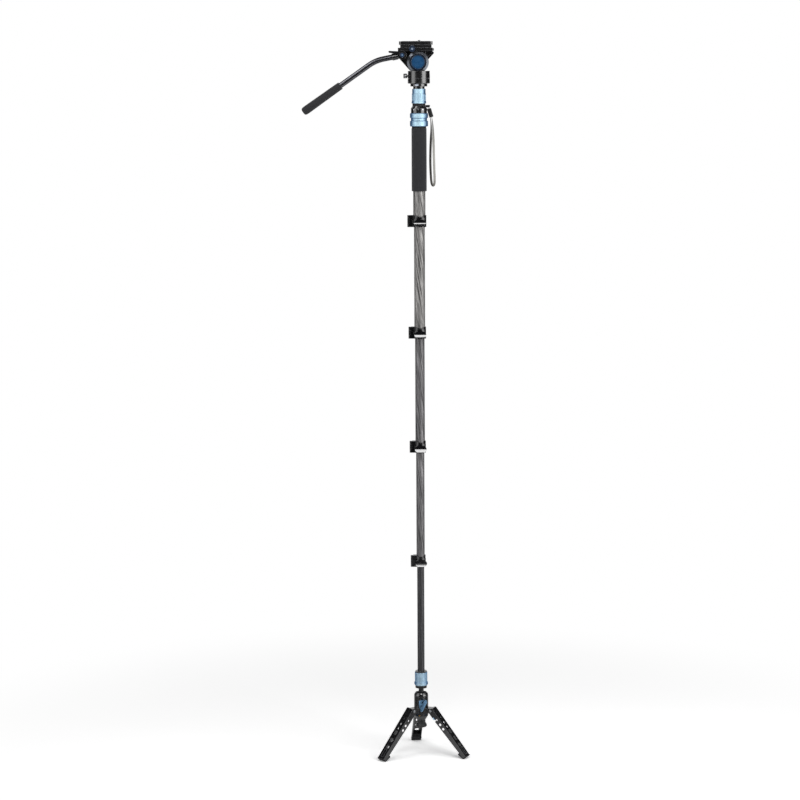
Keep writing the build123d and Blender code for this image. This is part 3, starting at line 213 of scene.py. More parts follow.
def card(name, start, end, near, far, grey):
    """Studio card swept round the object between two angles in degrees; only reflections show it.

    Its section runs between two places (radius, height) in metres. An upright card shades like a real one."""
    bpy.ops.object.select_all(action="DESELECT")
    bpy.ops.mesh.primitive_plane_add(size=2.0)
    sheet = bpy.context.object
    sheet.name = name
    bpy.ops.object.mode_set(mode="EDIT")
    shape = bmesh.from_edit_mesh(sheet.data)
    bpy.ops.mesh.select_all(action="DESELECT")
    bpy.ops.mesh.select_mode(type="VERT")
    for corner in shape.verts:
        corner.select = corner.co.x < 0.0
    shape.select_flush(True)
    bpy.ops.mesh.delete(type="VERT")
    for corner in shape.verts:
        radius, height = near if corner.co.y < 0.0 else far
        corner.co = Matrix.Rotation(radians(start), 4, "Z") @ Vector((0.0, -radius, height))
    bpy.ops.mesh.select_all(action="SELECT")
    # the spin tool turns against the sign of its angle
    bpy.ops.mesh.spin(steps=24, angle=radians(start - end), center=(0.0, 0.0, 0.0), axis=(0.0, 0.0, 1.0))
    bpy.ops.object.mode_set(mode="OBJECT")
    sheet.visible_camera = False
    sheet.visible_diffuse = False
    sheet.visible_shadow = near[1] == 0.0
    sheet.visible_transmission = False
    paper = bpy.data.materials.new(name)
    paper.use_nodes = True
    paper.node_tree.nodes.clear()
    glow = node(paper.node_tree, "ShaderNodeEmission", {"Color": linear(grey), "Strength": 1.0})
    node(paper.node_tree, "ShaderNodeOutputMaterial", None, {"Surface": glow.outputs[0]})
    sheet.data.materials.append(paper)


card("front_card", -38.0, 32.0, (2.2, 0.0), (2.2, 2.6), "#1C1C1E")
card("left_card", -146.0, -84.0, (2.2, 0.0), (2.2, 2.6), "#242426")
card("right_card", 78.0, 150.0, (2.2, 0.0), (2.2, 2.6), "#242426")
card("low_card", -118.0, 118.0, (0.32, 0.003), (1.0, 0.003), "#222224")
card("top_card", -180.0, 180.0, (0.02, 3.0), (2.2, 3.0), "#2C2C2E")

bpy.ops.object.select_all(action="DESELECT")
bpy.ops.mesh.primitive_plane_add(size=60.0)
floor = bpy.context.object
floor.name = "floor"
floor_paper = bpy.data.materials.new("white paper floor")
floor_paper.use_nodes = True
paper_tree = floor_paper.node_tree
floor_shader = paper_tree.nodes["Principled BSDF"]
floor_shader.inputs["Roughness"].default_value = 0.9
floor_shader.inputs["Specular IOR Level"].default_value = 0.0
# the paper is lifted to white where it is seen, and fades into the background further out
paper_rays = node(paper_tree, "ShaderNodeLightPath")
paper_seen = node(paper_tree, "ShaderNodeMath", {"operation": "MAXIMUM"}, {
    0: paper_rays.outputs["Is Camera Ray"], 1: paper_rays.outputs["Is Glossy Ray"]})
# the lamps leave the paper below white, so it is lifted where the camera sees it
paper_lift = node(paper_tree, "ShaderNodeMix", {"data_type": "RGBA", 6: linear("#E8E8E8"), 7: (1.7, 1.7, 1.7, 1.0)},
                  {0: paper_rays.outputs["Is Camera Ray"]})
paper_tree.links.new(paper_lift.outputs[2], floor_shader.inputs["Base Color"])
paper_place = node(paper_tree, "ShaderNodeTexCoord").outputs["Object"]
paper_reach = node(paper_tree, "ShaderNodeVectorMath", {"operation": "LENGTH"}, {0: paper_place}).outputs["Value"]
paper_fade = node(paper_tree, "ShaderNodeMapRange", {"interpolation_type": "SMOOTHSTEP", "From Min": 0.35,
                                                     "From Max": 1.6, "To Min": 0.10, "To Max": 1.0},
                  {"Value": paper_reach}).outputs[0]
paper_share = node(paper_tree, "ShaderNodeMath", {"operation": "MULTIPLY"}, {0: paper_fade, 1: paper_seen.outputs[0]})
paper_white = node(paper_tree, "ShaderNodeEmission", {"Color": linear("#FFFFFF"), "Strength": 1.0})
paper_mix = node(paper_tree, "ShaderNodeMixShader", None, {0: paper_share.outputs[0], 1: floor_shader.outputs[0],
                                                           2: paper_white.outputs[0]})
paper_tree.links.new(paper_mix.outputs[0], paper_tree.nodes["Material Output"].inputs["Surface"])
floor.data.materials.append(floor_paper)

# ---------------------------------------------------------------- materials
# axes along Y of the head's pieces that carry a disc, as (x, z) in mm
plate_knob_axis = (-17.3, 1877.7555)
tilt_axis = (-2.4, 1843.5555)
bar_knob_axis = (-43.0, 1861.5555)


def begin(name, settings):
    """A new material: its tree, its main shader and the coordinates that lie on the piece."""
    made = bpy.data.materials.new(name)
    made.use_nodes = True
    tree = made.node_tree
    shader = tree.nodes["Principled BSDF"]
    for key, value in settings.items():
        shader.inputs[key].default_value = value
    place = node(tree, "ShaderNodeTexCoord").outputs["Object"]
    return made, tree, shader, place


def grain(tree, place, size, detail=3.0, stretch=(1.0, 1.0, 1.0)):
    """Uneven spots of about a size in mm, longer along an axis whose stretch is small."""
    scaled = node(tree, "ShaderNodeMapping", {"Scale": stretch}, {"Vector": place})
    return node(tree, "ShaderNodeTexNoise", {"Scale": 1 / (size * MM), "Detail": detail, "Roughness": 0.55},
                {"Vector": scaled.outputs[0]}).outputs["Fac"]


def between(tree, factor, low, high, start=0.3, end=0.7):
    """A value that runs from low to high where a factor runs from start to end."""
    return node(tree, "ShaderNodeMapRange", {"From Min": start, "From Max": end, "To Min": low, "To Max": high},
                {"Value": factor}).outputs[0]


def relief(tree, height, depth, under=None):
    """A surface normal for a height pattern, its depth in mm."""
    links = {"Height": height}
    if under is not None:
        links["Normal"] = under
    return node(tree, "ShaderNodeBump", {"Strength": 1.0, "Distance": depth * MM}, links).outputs[0]


def rounded(tree, radius):
    """A surface normal that rounds sharp edges, with a radius in mm."""
    return node(tree, "ShaderNodeBevel", {"samples": 4, "Radius": radius * MM}).outputs[0]


def two_colours(tree, factor, first, second):
    """Runs from one hex colour to another."""
    return node(tree, "ShaderNodeMix", {"data_type": "RGBA", 6: linear(first), 7: linear(second)},
                {0: factor}).outputs[2]


def off_axis(tree, place, x, z, inner, outer):
    """Zero within an inner radius of an axis along Y, one beyond an outer radius, all in mm."""
    moved = node(tree, "ShaderNodeVectorMath", {"operation": "SUBTRACT", 1: (x * MM, 0.0, z * MM)}, {0: place})
    flat = node(tree, "ShaderNodeVectorMath", {"operation": "MULTIPLY", 1: (1.0, 0.0, 1.0)}, {0: moved.outputs[0]})
    away = node(tree, "ShaderNodeVectorMath", {"operation": "LENGTH"}, {0: flat.outputs[0]})
    return between(tree, away.outputs["Value"], 0.0, 1.0, inner * MM, outer * MM)


def edge_mask(tree, radius):
    """One along sharp edges and zero on open faces, a width in mm."""
    soft = node(tree, "ShaderNodeBevel", {"samples": 6, "Radius": radius * MM}).outputs[0]
    flat = node(tree, "ShaderNodeNewGeometry").outputs["Normal"]
    same = node(tree, "ShaderNodeVectorMath", {"operation": "DOT_PRODUCT"}, {0: soft, 1: flat})
    return node(tree, "ShaderNodeMapRange", {"From Min": 0.985, "From Max": 0.86, "To Min": 0.0, "To Max": 1.0},
                {"Value": same.outputs["Value"]}).outputs[0]


def turning(tree, place, centre, count):
    """Teeth round an upright axis through a centre in metres, as a wave from -1 to 1."""
    moved = node(tree, "ShaderNodeVectorMath", {"operation": "SUBTRACT", 1: centre}, {0: place})
    parts = node(tree, "ShaderNodeSeparateXYZ", None, {0: moved.outputs[0]})
    angle = node(tree, "ShaderNodeMath", {"operation": "ARCTAN2"}, {0: parts.outputs["Y"], 1: parts.outputs["X"]})
    turned_on = node(tree, "ShaderNodeMath", {"operation": "MULTIPLY", 1: float(count)}, {0: angle.outputs[0]})
    return node(tree, "ShaderNodeMath", {"operation": "SINE"}, {0: turned_on.outputs[0]}).outputs[0]


def black_anodised():
    # Blasted, black-dyed aluminium: an even satin black whose sharp edges are painted paler, a painted highlight.
    made, tree, shader, place = begin("black anodised aluminium", {"IOR": 2.0})
    spots = grain(tree, place, 14.0)
    edge_wear_and_highlight = edge_mask(tree, 0.9)
    body = two_colours(tree, spots, "#0B0B0C", "#151517")
    mix = node(tree, "ShaderNodeMix", {"data_type": "RGBA", 7: linear("#6C6D71")}, {0: edge_wear_and_highlight, 6: body})
    tree.links.new(mix.outputs[2], shader.inputs["Base Color"])
    tree.links.new(between(tree, spots, 0.20, 0.28), shader.inputs["Roughness"])
    # blasted grit is about 0.2 mm, drawn at 0.7 mm and kept shallow
    tree.links.new(relief(tree, grain(tree, place, 0.7), 0.005, rounded(tree, 0.5)), shader.inputs["Normal"])
    return made


def black_bar():
    # Drawn tube, black-dyed and buffed: black where the room is dark, a long grey gleam along the top.
    made, tree, shader, place = begin("buffed black aluminium", {"Metallic": 1.0})
    lines = grain(tree, place, 1.2, 2.0, (0.2, 1.0, 0.2))
    tree.links.new(two_colours(tree, lines, "#4E4E52", "#646468"), shader.inputs["Base Color"])
    tree.links.new(between(tree, lines, 0.24, 0.34), shader.inputs["Roughness"])
    tree.links.new(relief(tree, lines, 0.012), shader.inputs["Normal"])
    return made


def black_abs():
    # Moulded glossy ABS: the flip locks, nearly a mirror with faint flow marks and handling haze; sharp edges are
    # painted paler, a painted highlight.
    made, tree, shader, place = begin("glossy black ABS", {"IOR": 1.54})
    haze = grain(tree, place, 11.0, 5.0)
    edge_wear_and_highlight = edge_mask(tree, 0.7)
    body = two_colours(tree, haze, "#0A0A0B", "#141416")
    # painted highlight: sharp edges mixed to a paler grey
    mix = node(tree, "ShaderNodeMix", {"data_type": "RGBA", 7: linear("#3A3A3D")}, {0: edge_wear_and_highlight, 6: body})
    tree.links.new(mix.outputs[2], shader.inputs["Base Color"])
    tree.links.new(between(tree, haze, 0.14, 0.27), shader.inputs["Roughness"])
    tree.links.new(relief(tree, grain(tree, place, 3.0, 1.0, (1, 1, 0.3)), 0.01, rounded(tree, 0.6)),
                   shader.inputs["Normal"])
    return made


def black_gloss():
    # Polished black ABS of the finger pads, lacquered: dark, with the lamps mirrored in its scoop.
    made, tree, shader, place = begin("lacquered black ABS", {"IOR": 1.9, "Coat Weight": 1.0, "Coat Roughness": 0.04})
    haze = grain(tree, place, 8.0, 4.0)
    tree.links.new(two_colours(tree, haze, "#0A0A0B", "#151518"), shader.inputs["Base Color"])
    tree.links.new(between(tree, haze, 0.08, 0.16), shader.inputs["Roughness"])
    tree.links.new(relief(tree, grain(tree, place, 6.0, 1.0), 0.01), shader.inputs["Normal"])
    return made


def blue_anodised(name, pale, deep):
    # Turned and blue-dyed aluminium. Its colour runs deeper where the surface is seen at a slant: painted shade on the
    # round sides.
    made, tree, shader, place = begin(name, {"Metallic": 0.9})
    rings = grain(tree, place, 0.6, 2.0, (0.1, 0.1, 1.0))
    # painted shade: the facing term deepens the colour on the sides turned away from the view
    slant = node(tree, "ShaderNodeLayerWeight", {"Blend": 0.5}).outputs["Facing"]
    rings_and_painted_side_shade = node(tree, "ShaderNodeMath", {"operation": "MULTIPLY_ADD", 1: 0.25}, {0: rings, 2: slant})
    tree.links.new(two_colours(tree, between(tree, rings_and_painted_side_shade.outputs[0], 0.0, 1.0, 0.16, 0.62), pale, deep),
                   shader.inputs["Base Color"])
    tree.links.new(between(tree, rings, 0.58, 0.68), shader.inputs["Roughness"])
    tree.links.new(relief(tree, rings, 0.02, rounded(tree, 0.5)), shader.inputs["Normal"])
    return made


def polished_blue():
    # Pressed and polished aluminium of the foot pedal, dyed deep blue; a shallow ridge slants across its face.
    made, tree, shader, place = begin("polished blue aluminium", {"Metallic": 1.0})
    spots = grain(tree, place, 5.0)
    tree.links.new(two_colours(tree, spots, "#14222F", "#4A647C"), shader.inputs["Base Color"])
    tree.links.new(between(tree, spots, 0.20, 0.28), shader.inputs["Roughness"])
    across = node(tree, "ShaderNodeVectorMath", {"operation": "DOT_PRODUCT", 1: (0.928, 0.0, -0.371)}, {0: place})
    # the ridge's crest passes the middle of the pedal, its foot 9 mm away on each side
    pitch, crest = 18.0, 46.6
    turn = node(tree, "ShaderNodeMath", {"operation": "MULTIPLY_ADD", 1: 2 * pi / (pitch * MM),
                                         2: 2 * pi * crest / pitch}, {0: across.outputs["Value"]})
    ridge = node(tree, "ShaderNodeMath", {"operation": "COSINE"}, {0: turn.outputs[0]})
    uneven = node(tree, "ShaderNodeMath", {"operation": "MULTIPLY_ADD", 1: 0.25}, {0: spots, 2: ridge.outputs[0]})
    tree.links.new(relief(tree, uneven.outputs[0], 1.1, rounded(tree, 0.6)), shader.inputs["Normal"])
    return made


def grey_anodised():
    # Clear-anodised aluminium of the drum rings, brushed in the lathe.
    made, tree, shader, place = begin("clear anodised aluminium", {"Metallic": 1.0})
    spots = grain(tree, place, 0.6, 2.0, (1.0, 0.05, 1.0))
    tree.links.new(two_colours(tree, spots, "#55585E", "#6C7076"), shader.inputs["Base Color"])
    tree.links.new(between(tree, spots, 0.38, 0.48), shader.inputs["Roughness"])
    tree.links.new(relief(tree, spots, 0.01, rounded(tree, 0.4)), shader.inputs["Normal"])
    return made


def slate_anodised():
    # Dark slate-blue dyed aluminium of the plate knob, bead blasted; its pale centre and paler edges are painted
    # highlights.
    made, tree, shader, place = begin("slate anodised aluminium", {"Metallic": 0.6, "IOR": 1.77})
    spots = grain(tree, place, 5.0)
    edge_wear_and_highlight = edge_mask(tree, 0.6)
    # painted highlight: the pale centre of the knob
    centre = off_axis(tree, place, *plate_knob_axis, 2.6, 3.2)
    body = node(tree, "ShaderNodeMix", {"data_type": "RGBA", 6: linear("#9FB0C6")},
                {0: centre, 7: two_colours(tree, spots, "#1C2C44", "#2A3E5C")})
    mix = node(tree, "ShaderNodeMix", {"data_type": "RGBA", 7: linear("#7C8AA0")}, {0: edge_wear_and_highlight, 6: body.outputs[2]})
    tree.links.new(mix.outputs[2], shader.inputs["Base Color"])
    tree.links.new(between(tree, spots, 0.3, 0.4), shader.inputs["Roughness"])
    tree.links.new(relief(tree, grain(tree, place, 0.6), 0.02, rounded(tree, 0.4)), shader.inputs["Normal"])
    return made


def cap_blue():
    # Moulded blue cover disc on each side of the tilt drum: a mid-blue face inside a dark navy rim.
    made, tree, shader, place = begin("blue polycarbonate cap", {"IOR": 1.58, "Coat Weight": 0.3,
                                                                "Coat Roughness": 0.15})
    swirl = grain(tree, place, 7.0)
    face = two_colours(tree, swirl, "#123E66", "#1E527D")
    rim = off_axis(tree, place, *tilt_axis, 14.0, 19.0)
    mix = node(tree, "ShaderNodeMix", {"data_type": "RGBA", 7: linear("#0A1626")}, {0: rim, 6: face})
    tree.links.new(mix.outputs[2], shader.inputs["Base Color"])
    tree.links.new(between(tree, swirl, 0.22, 0.32), shader.inputs["Roughness"])
    groove = node(tree, "ShaderNodeMath", {"operation": "MULTIPLY_ADD", 1: 0.03},
                  {0: grain(tree, place, 0.8), 2: off_axis(tree, place, *tilt_axis, 17.2, 17.8)})
    tree.links.new(relief(tree, groove.outputs[0], 0.3, rounded(tree, 0.5)), shader.inputs["Normal"])
    return made


def knob_black():
    # Moulded black wing knob with a blue disc let into its hub; the disc's pale centre is a painted highlight.
    made, tree, shader, place = begin("black knob with a blue disc", {"IOR": 1.6})
    haze = grain(tree, place, 6.0)
    disc = off_axis(tree, place, *bar_knob_axis, 5.2, 5.8)
    # painted highlight: the pale spot in the middle of the blue disc
    centre = node(tree, "ShaderNodeMix", {"data_type": "RGBA", 6: linear("#6F8AA8"), 7: linear("#16304E")},
                  {0: off_axis(tree, place, *bar_knob_axis, 1.4, 2.6)})
    mix = node(tree, "ShaderNodeMix", {"data_type": "RGBA"},
               {0: disc, 6: centre.outputs[2], 7: two_colours(tree, haze, "#0B0B0C", "#161618")})
    tree.links.new(mix.outputs[2], shader.inputs["Base Color"])
    tree.links.new(between(tree, haze, 0.22, 0.34), shader.inputs["Roughness"])
    tree.links.new(relief(tree, disc, 0.3, rounded(tree, 0.5)), shader.inputs["Normal"])
    return made


def steel():
    # Plain turned steel: pins, axle and screws, pale grey with fine scratches.
    made, tree, shader, place = begin("turned steel", {"Metallic": 1.0})
    lines = grain(tree, place, 0.5, 3.0, (1.0, 0.2, 1.0))
    tree.links.new(two_colours(tree, lines, "#A8ABAE", "#C8CACD"), shader.inputs["Base Color"])
    tree.links.new(between(tree, lines, 0.22, 0.38), shader.inputs["Roughness"])
    tree.links.new(relief(tree, lines, 0.01, rounded(tree, 0.25)), shader.inputs["Normal"])
    return made


def threaded_steel():
    # Rolled thread of the camera screw, 20 turns to the inch, so 1.27 mm apart.
    made, tree, shader, place = begin("threaded steel", {"Metallic": 1.0})
    height = node(tree, "ShaderNodeSeparateXYZ", None, {0: place}).outputs["Z"]
    turns = node(tree, "ShaderNodeMath", {"operation": "MULTIPLY", 1: 2 * pi / (1.27 * MM)}, {0: height})
    wave = node(tree, "ShaderNodeMath", {"operation": "SINE"}, {0: turns.outputs[0]}).outputs[0]
    # painted shade: the thread's grooves are drawn darker than its crests
    tree.links.new(two_colours(tree, between(tree, wave, 0.0, 1.0, -1.0, 1.0), "#77797C", "#C9CBCE"),
                   shader.inputs["Base Color"])
    tree.links.new(between(tree, grain(tree, place, 2.0), 0.25, 0.4), shader.inputs["Roughness"])
    tree.links.new(relief(tree, wave, 0.2), shader.inputs["Normal"])
    return made


def brass():
    # Plain brass pin and stop screw, slightly dulled.
    made, tree, shader, place = begin("brass", {"Metallic": 1.0})
    spots = grain(tree, place, 1.5)
    tree.links.new(two_colours(tree, spots, "#9C7A3C", "#C6A25E"), shader.inputs["Base Color"])
    tree.links.new(between(tree, spots, 0.25, 0.42), shader.inputs["Roughness"])
    tree.links.new(relief(tree, spots, 0.015, rounded(tree, 0.3)), shader.inputs["Normal"])
    return made


def carbon(name, dark, light, slant):
    # Rolled carbon-fibre tube under clear resin: tows slant round the tube and shine grey against black gaps.
    made, tree, shader, place = begin(name, {"IOR": 1.5, "Coat Weight": 0.15, "Coat Roughness": 0.3})
    parts = node(tree, "ShaderNodeSeparateXYZ", None, {0: place})
    angle = node(tree, "ShaderNodeMath", {"operation": "ARCTAN2"}, {0: parts.outputs["Y"], 1: parts.outputs["X"]})
    # arc length round a tube of 28 mm middle diameter, in metres
    arc = node(tree, "ShaderNodeMath", {"operation": "MULTIPLY", 1: 14.0 * MM}, {0: angle.outputs[0]})
    climb = node(tree, "ShaderNodeMath", {"operation": "MULTIPLY", 1: slant}, {0: parts.outputs["Z"]})
    crosswise = node(tree, "ShaderNodeMath", {"operation": "ADD"}, {0: arc.outputs[0], 1: climb.outputs[0]})
    along = node(tree, "ShaderNodeMath", {"operation": "MULTIPLY", 1: 0.035}, {0: parts.outputs["Z"]})
    flat = node(tree, "ShaderNodeCombineXYZ", None, {0: crosswise.outputs[0], 1: along.outputs[0]})
    # tows are 2 to 3 mm wide, drawn a little wider
    tows = node(tree, "ShaderNodeTexNoise", {"Scale": 1 / (3.2 * MM), "Detail": 2.0, "Roughness": 0.5},
                {"Vector": flat.outputs[0]}).outputs["Fac"]
    threads = node(tree, "ShaderNodeTexNoise", {"Scale": 1 / (0.7 * MM), "Detail": 2.0},
                   {"Vector": flat.outputs[0]}).outputs["Fac"]
    whole = node(tree, "ShaderNodeMix", {"data_type": "FLOAT", 0: 0.3}, {2: tows, 3: threads}).outputs[0]
    tree.links.new(two_colours(tree, between(tree, whole, 0.0, 1.0, 0.36, 0.66), dark, light),
                   shader.inputs["Base Color"])
    tree.links.new(between(tree, whole, 0.66, 0.52, 0.36, 0.66), shader.inputs["Roughness"])
    tree.links.new(relief(tree, whole, 0.03), shader.inputs["Normal"])
    shader.inputs["Metallic"].default_value = 0.55
    return made


def foam():
    # Closed-cell foam sleeve: dull charcoal with a fine pitted skin.
    made, tree, shader, place = begin("closed-cell foam", {"Roughness": 0.85, "Sheen Weight": 0.25,
                                                           "Sheen Roughness": 0.5, "Specular IOR Level": 0.25})
    # cells are 0.3 to 0.5 mm, drawn at 1.1 mm to show
    cells = node(tree, "ShaderNodeTexVoronoi", {"Scale": 1 / (1.1 * MM)}, {"Vector": place}).outputs["Distance"]
    mottle = grain(tree, place, 6.0, 4.0)
    tree.links.new(two_colours(tree, mottle, "#232325", "#2E2E31"), shader.inputs["Base Color"])
    height = node(tree, "ShaderNodeMath", {"operation": "MULTIPLY_ADD", 1: 0.6}, {0: cells, 2: mottle})
    tree.links.new(relief(tree, height.outputs[0], 0.12), shader.inputs["Normal"])
    return made


def rubber():
    # Moulded black rubber of the feet: matt, slightly greyed where it scuffs.
    made, tree, shader, place = begin("moulded rubber", {"Specular IOR Level": 0.35})
    scuff = grain(tree, place, 4.0, 5.0)
    edge_wear_and_highlight = edge_mask(tree, 1.2)
    body = two_colours(tree, scuff, "#161617", "#232325")
    mix = node(tree, "ShaderNodeMix", {"data_type": "RGBA", 7: linear("#3D3D3F")}, {0: edge_wear_and_highlight, 6: body})
    tree.links.new(mix.outputs[2], shader.inputs["Base Color"])
    tree.links.new(between(tree, scuff, 0.6, 0.8), shader.inputs["Roughness"])
    tree.links.new(relief(tree, grain(tree, place, 0.9), 0.05, rounded(tree, 0.8)), shader.inputs["Normal"])
    return made


def webbing():
    # Woven nylon tape: warp threads run along it and cross threads step over them, with a stitched edge.
    made, tree, shader = begin("woven nylon webbing", {"Roughness": 0.7, "Sheen Weight": 0.4,
                                                       "Sheen Roughness": 0.4})[:3]
    layout = node(tree, "ShaderNodeUVMap", {"uv_map": "weave"})
    parts = node(tree, "ShaderNodeSeparateXYZ", None, {0: layout.outputs[0]})
    # threads 0.9 mm apart across and 1.3 mm apart along
    over = node(tree, "ShaderNodeMath", {"operation": "MULTIPLY", 1: pi / (0.9 * MM)}, {0: parts.outputs["X"]})
    along = node(tree, "ShaderNodeMath", {"operation": "MULTIPLY", 1: pi / (1.3 * MM)}, {0: parts.outputs["Y"]})
    wave_over = node(tree, "ShaderNodeMath", {"operation": "SINE"}, {0: over.outputs[0]})
    wave_along = node(tree, "ShaderNodeMath", {"operation": "SINE"}, {0: along.outputs[0]})
    weave = node(tree, "ShaderNodeMath", {"operation": "MULTIPLY"},
                 {0: wave_over.outputs[0], 1: wave_along.outputs[0]}).outputs[0]
    # the outer run is drawn paler than the ends and the inner run, changing along its length
    pale = node(tree, "ShaderNodeValToRGB", None, {0: node(tree, "ShaderNodeMath", {
        "operation": "DIVIDE", 1: strap_length}, {0: parts.outputs["Y"]}).outputs[0]})
    ramp = pale.color_ramp
    ramp.elements[0].position, ramp.elements[0].color = 0.06, linear("#121111")
    ramp.elements[1].position, ramp.elements[1].color = 0.95, linear("#1A1918")
    for spot, colour in ((0.10, "#45433F"), (0.18, "#A6A49D"), (0.32, "#C6C4BD"), (0.45, "#B4B2AB"), (0.50, "#77746F"),
                         (0.60, "#5E5B57"), (0.85, "#4A4743")):
        ramp.elements.new(spot).color = linear(colour)
    shade = node(tree, "ShaderNodeMix", {"data_type": "RGBA", "blend_type": "MULTIPLY", 0: 0.5},
                 {6: pale.outputs[0], 7: two_colours(tree, between(tree, weave, 0.0, 1.0, -1.0, 1.0),
                                                     "#8A8A8A", "#FFFFFF")})
    tree.links.new(shade.outputs[2], shader.inputs["Base Color"])
    tree.links.new(relief(tree, weave, 0.12), shader.inputs["Normal"])
    return made


def level_vial():
    # Pale acrylic vial of the spirit level, faintly blue, with its bubble as a paler patch.
    made, tree, shader, place = begin("pale acrylic vial", {"IOR": 1.49, "Coat Weight": 0.5, "Coat Roughness": 0.05})
    cloud = grain(tree, place, 3.0)
    tree.links.new(two_colours(tree, between(tree, cloud, 0.0, 1.0), "#C3D2EA", "#F4F8FF"),
                   shader.inputs["Base Color"])
    tree.links.new(between(tree, cloud, 0.1, 0.2), shader.inputs["Roughness"])
    tree.links.new(relief(tree, cloud, 0.02), shader.inputs["Normal"])
    return made


def knurled(name, colour, paler, centre, count):
    # Knurled black aluminium grip, its teeth cut along an upright axis.
    made, tree, shader, place = begin(name, {"IOR": 1.77, "Roughness": 0.34})
    teeth = turning(tree, place, centre, count)
    # painted shade: the knurl's grooves are drawn darker than the crests of its teeth
    tree.links.new(two_colours(tree, between(tree, teeth, 0.0, 1.0, -1.0, 1.0), colour, paler),
                   shader.inputs["Base Color"])
    tree.links.new(relief(tree, teeth, 0.25, rounded(tree, 0.4)), shader.inputs["Normal"])
    return made


finishes = {
    "black": black_anodised(),
    "bar": black_bar(),
    "abs": black_abs(),
    "gloss": black_gloss(),
    "blue": blue_anodised("blue anodised aluminium", "#CDEBFA", "#44709C"),
    # the same blue with its painted side shade lighter, for the lower collar and the leg latches
    "blue with lighter painted side shade": blue_anodised("blue anodised aluminium with lighter painted side shade", "#CFEBFB", "#5C86B0"),
    "pedal": polished_blue(),
    "grey": grey_anodised(),
    "slate": slate_anodised(),
    "cap": cap_blue(),
    "knob": knob_black(),
    "steel": steel(),
    "vial": level_vial(),
    "thread": threaded_steel(),
    "brass": brass(),
    "carbon": carbon("slanting carbon fibre", "#232121", "#BDBBB9", 0.16),
    # a darker copy of the same carbon: painted shade for the lower tubes, where less light falls
    "carbon with painted shade": carbon("slanting carbon fibre with painted shade", "#212122", "#949294", 0.16),
    "thin carbon": carbon("plain carbon fibre", "#232224", "#5A5A5D", 0.05),
    "rubber": rubber(),
    "foam": foam(),
    "webbing": webbing(),
    "knurled": knurled("knurled black aluminium", "#0C0C0D", "#2A2A2D", (0.0, 0.0, 0.0), 60),
}

wearing = {
    "black": ["stand_body", "ball_cap", "swivel_cup", "ball_stem", "lower_socket", "strap_ring", "top_platform",
              "head_base", "pan_housing", "tilt_frame", "plate_jaw", "camera_plate", "tilt_lock_lever", "leg_1",
              "leg_2", "leg_3", "pan_bar_clamp", "pan_lock_knob", "release_button"],
    "knob": ["pan_bar_knob"],
    "bar": ["pan_bar"],
    "abs": [f"lock_{part}_{number}" for number in (1, 2, 3, 4) for part in ("collar", "lever")],
    "blue": ["upper_collar", "grip_ring"],
    # these wear the blue whose painted side shade is lighter
    "blue with lighter painted side shade": ["lower_collar", "leg_latch_1", "leg_latch_2", "leg_latch_3"],
    "pedal": ["foot_pedal"],
    "grey": ["tilt_drum"],
    "slate": ["plate_lock_knob"],
    "cap": ["side_caps"],
    "steel": ["head_screw", "tilt_axle", "leg_pins", "lock_pins_1", "lock_pins_2", "lock_pins_3",
              "lock_pins_4"],
    "thread": ["camera_screw"],
    "brass": ["pedal_pins"],
    "carbon": ["tube_1", "tube_2"],
    # tubes 3 and 4 wear the copy with painted shade
    "carbon with painted shade": ["tube_3", "tube_4"],
    "thin carbon": ["tube_5"],
    "rubber": ["leg_foot_1", "leg_foot_2", "leg_foot_3"],
    "foam": ["foam_grip", "pan_bar_grip"],
    "webbing": ["wrist_strap"],
    "knurled": ["tension_knob"],
}
for finish, names in wearing.items():
    for name in names:
        for slot in nodes[name].material_slots:
            slot.material = finishes[finish]
        if not nodes[name].material_slots:
            nodes[name].data.materials.append(finishes[finish])
strap.data.materials.append(finishes["webbing"])

# ---------------------------------------------------------------- foam sleeves


def turned(name, outline, steps=96):
    """A closed (radius, height) outline in mm, spun round the upright axis as on a lathe."""
    bpy.ops.object.select_all(action="DESELECT")
    bpy.ops.mesh.primitive_plane_add(size=MM)
    piece = bpy.context.object
    piece.name = name
    bpy.ops.object.mode_set(mode="EDIT")
    bpy.ops.mesh.select_all(action="SELECT")
    bpy.ops.mesh.merge(type="CENTER")
    bpy.ops.transform.translate(value=(outline[0][0] * MM, 0.0, outline[0][1] * MM))
    for (radius, height), (next_radius, next_height) in zip(outline, outline[1:] + outline[:1]):
        bpy.ops.mesh.extrude_region_move(TRANSFORM_OT_translate={
            "value": ((next_radius - radius) * MM, 0.0, (next_height - height) * MM)})
    bpy.ops.mesh.select_all(action="SELECT")
    bpy.ops.mesh.remove_doubles(threshold=0.002 * MM)
    bpy.ops.mesh.spin(steps=steps, angle=2 * pi, center=(0.0, 0.0, 0.0), axis=(0.0, 0.0, 1.0))
    bpy.ops.mesh.select_all(action="SELECT")
    bpy.ops.mesh.remove_doubles(threshold=0.002 * MM)
    bpy.ops.mesh.normals_make_consistent(inside=False)
    bpy.ops.object.mode_set(mode="OBJECT")
    bpy.ops.object.shade_smooth_by_angle(angle=radians(40))
    return piece


def sleeve(bore, radius_low, radius_high, low, high, rounding, swell):
    """The outline of a foam sleeve: rounded ends, and a body that swells a little between them."""
    outline = [(bore, low), (radius_low - rounding, low)]
    for step in range(1, 6):
        bend = step / 5 * pi / 2
        outline.append((radius_low - rounding + rounding * sin(bend), low + rounding - rounding * cos(bend)))
    for step in range(1, 12):
        share = step / 12
        outline.append((radius_low + (radius_high - radius_low) * share + swell * sin(pi * share) ** 0.5,
                        low + rounding + (high - low - 2 * rounding) * share))
    for step in range(0, 6):
        bend = step / 5 * pi / 2
        outline.append((radius_high - rounding + rounding * cos(bend), high - rounding + rounding * sin(bend)))
    outline.append((bore, high))
    return outline


grip_low, grip_high = (corner.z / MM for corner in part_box("foam_grip"))
hand_grip = turned("hand_grip_sleeve", sleeve(16.02, 19.6, 19.6, grip_low, grip_high, 1.8, 0.1))
hand_grip.data.materials.append(finishes["foam"])
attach(hand_grip, "section_1")
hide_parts("foam_grip")

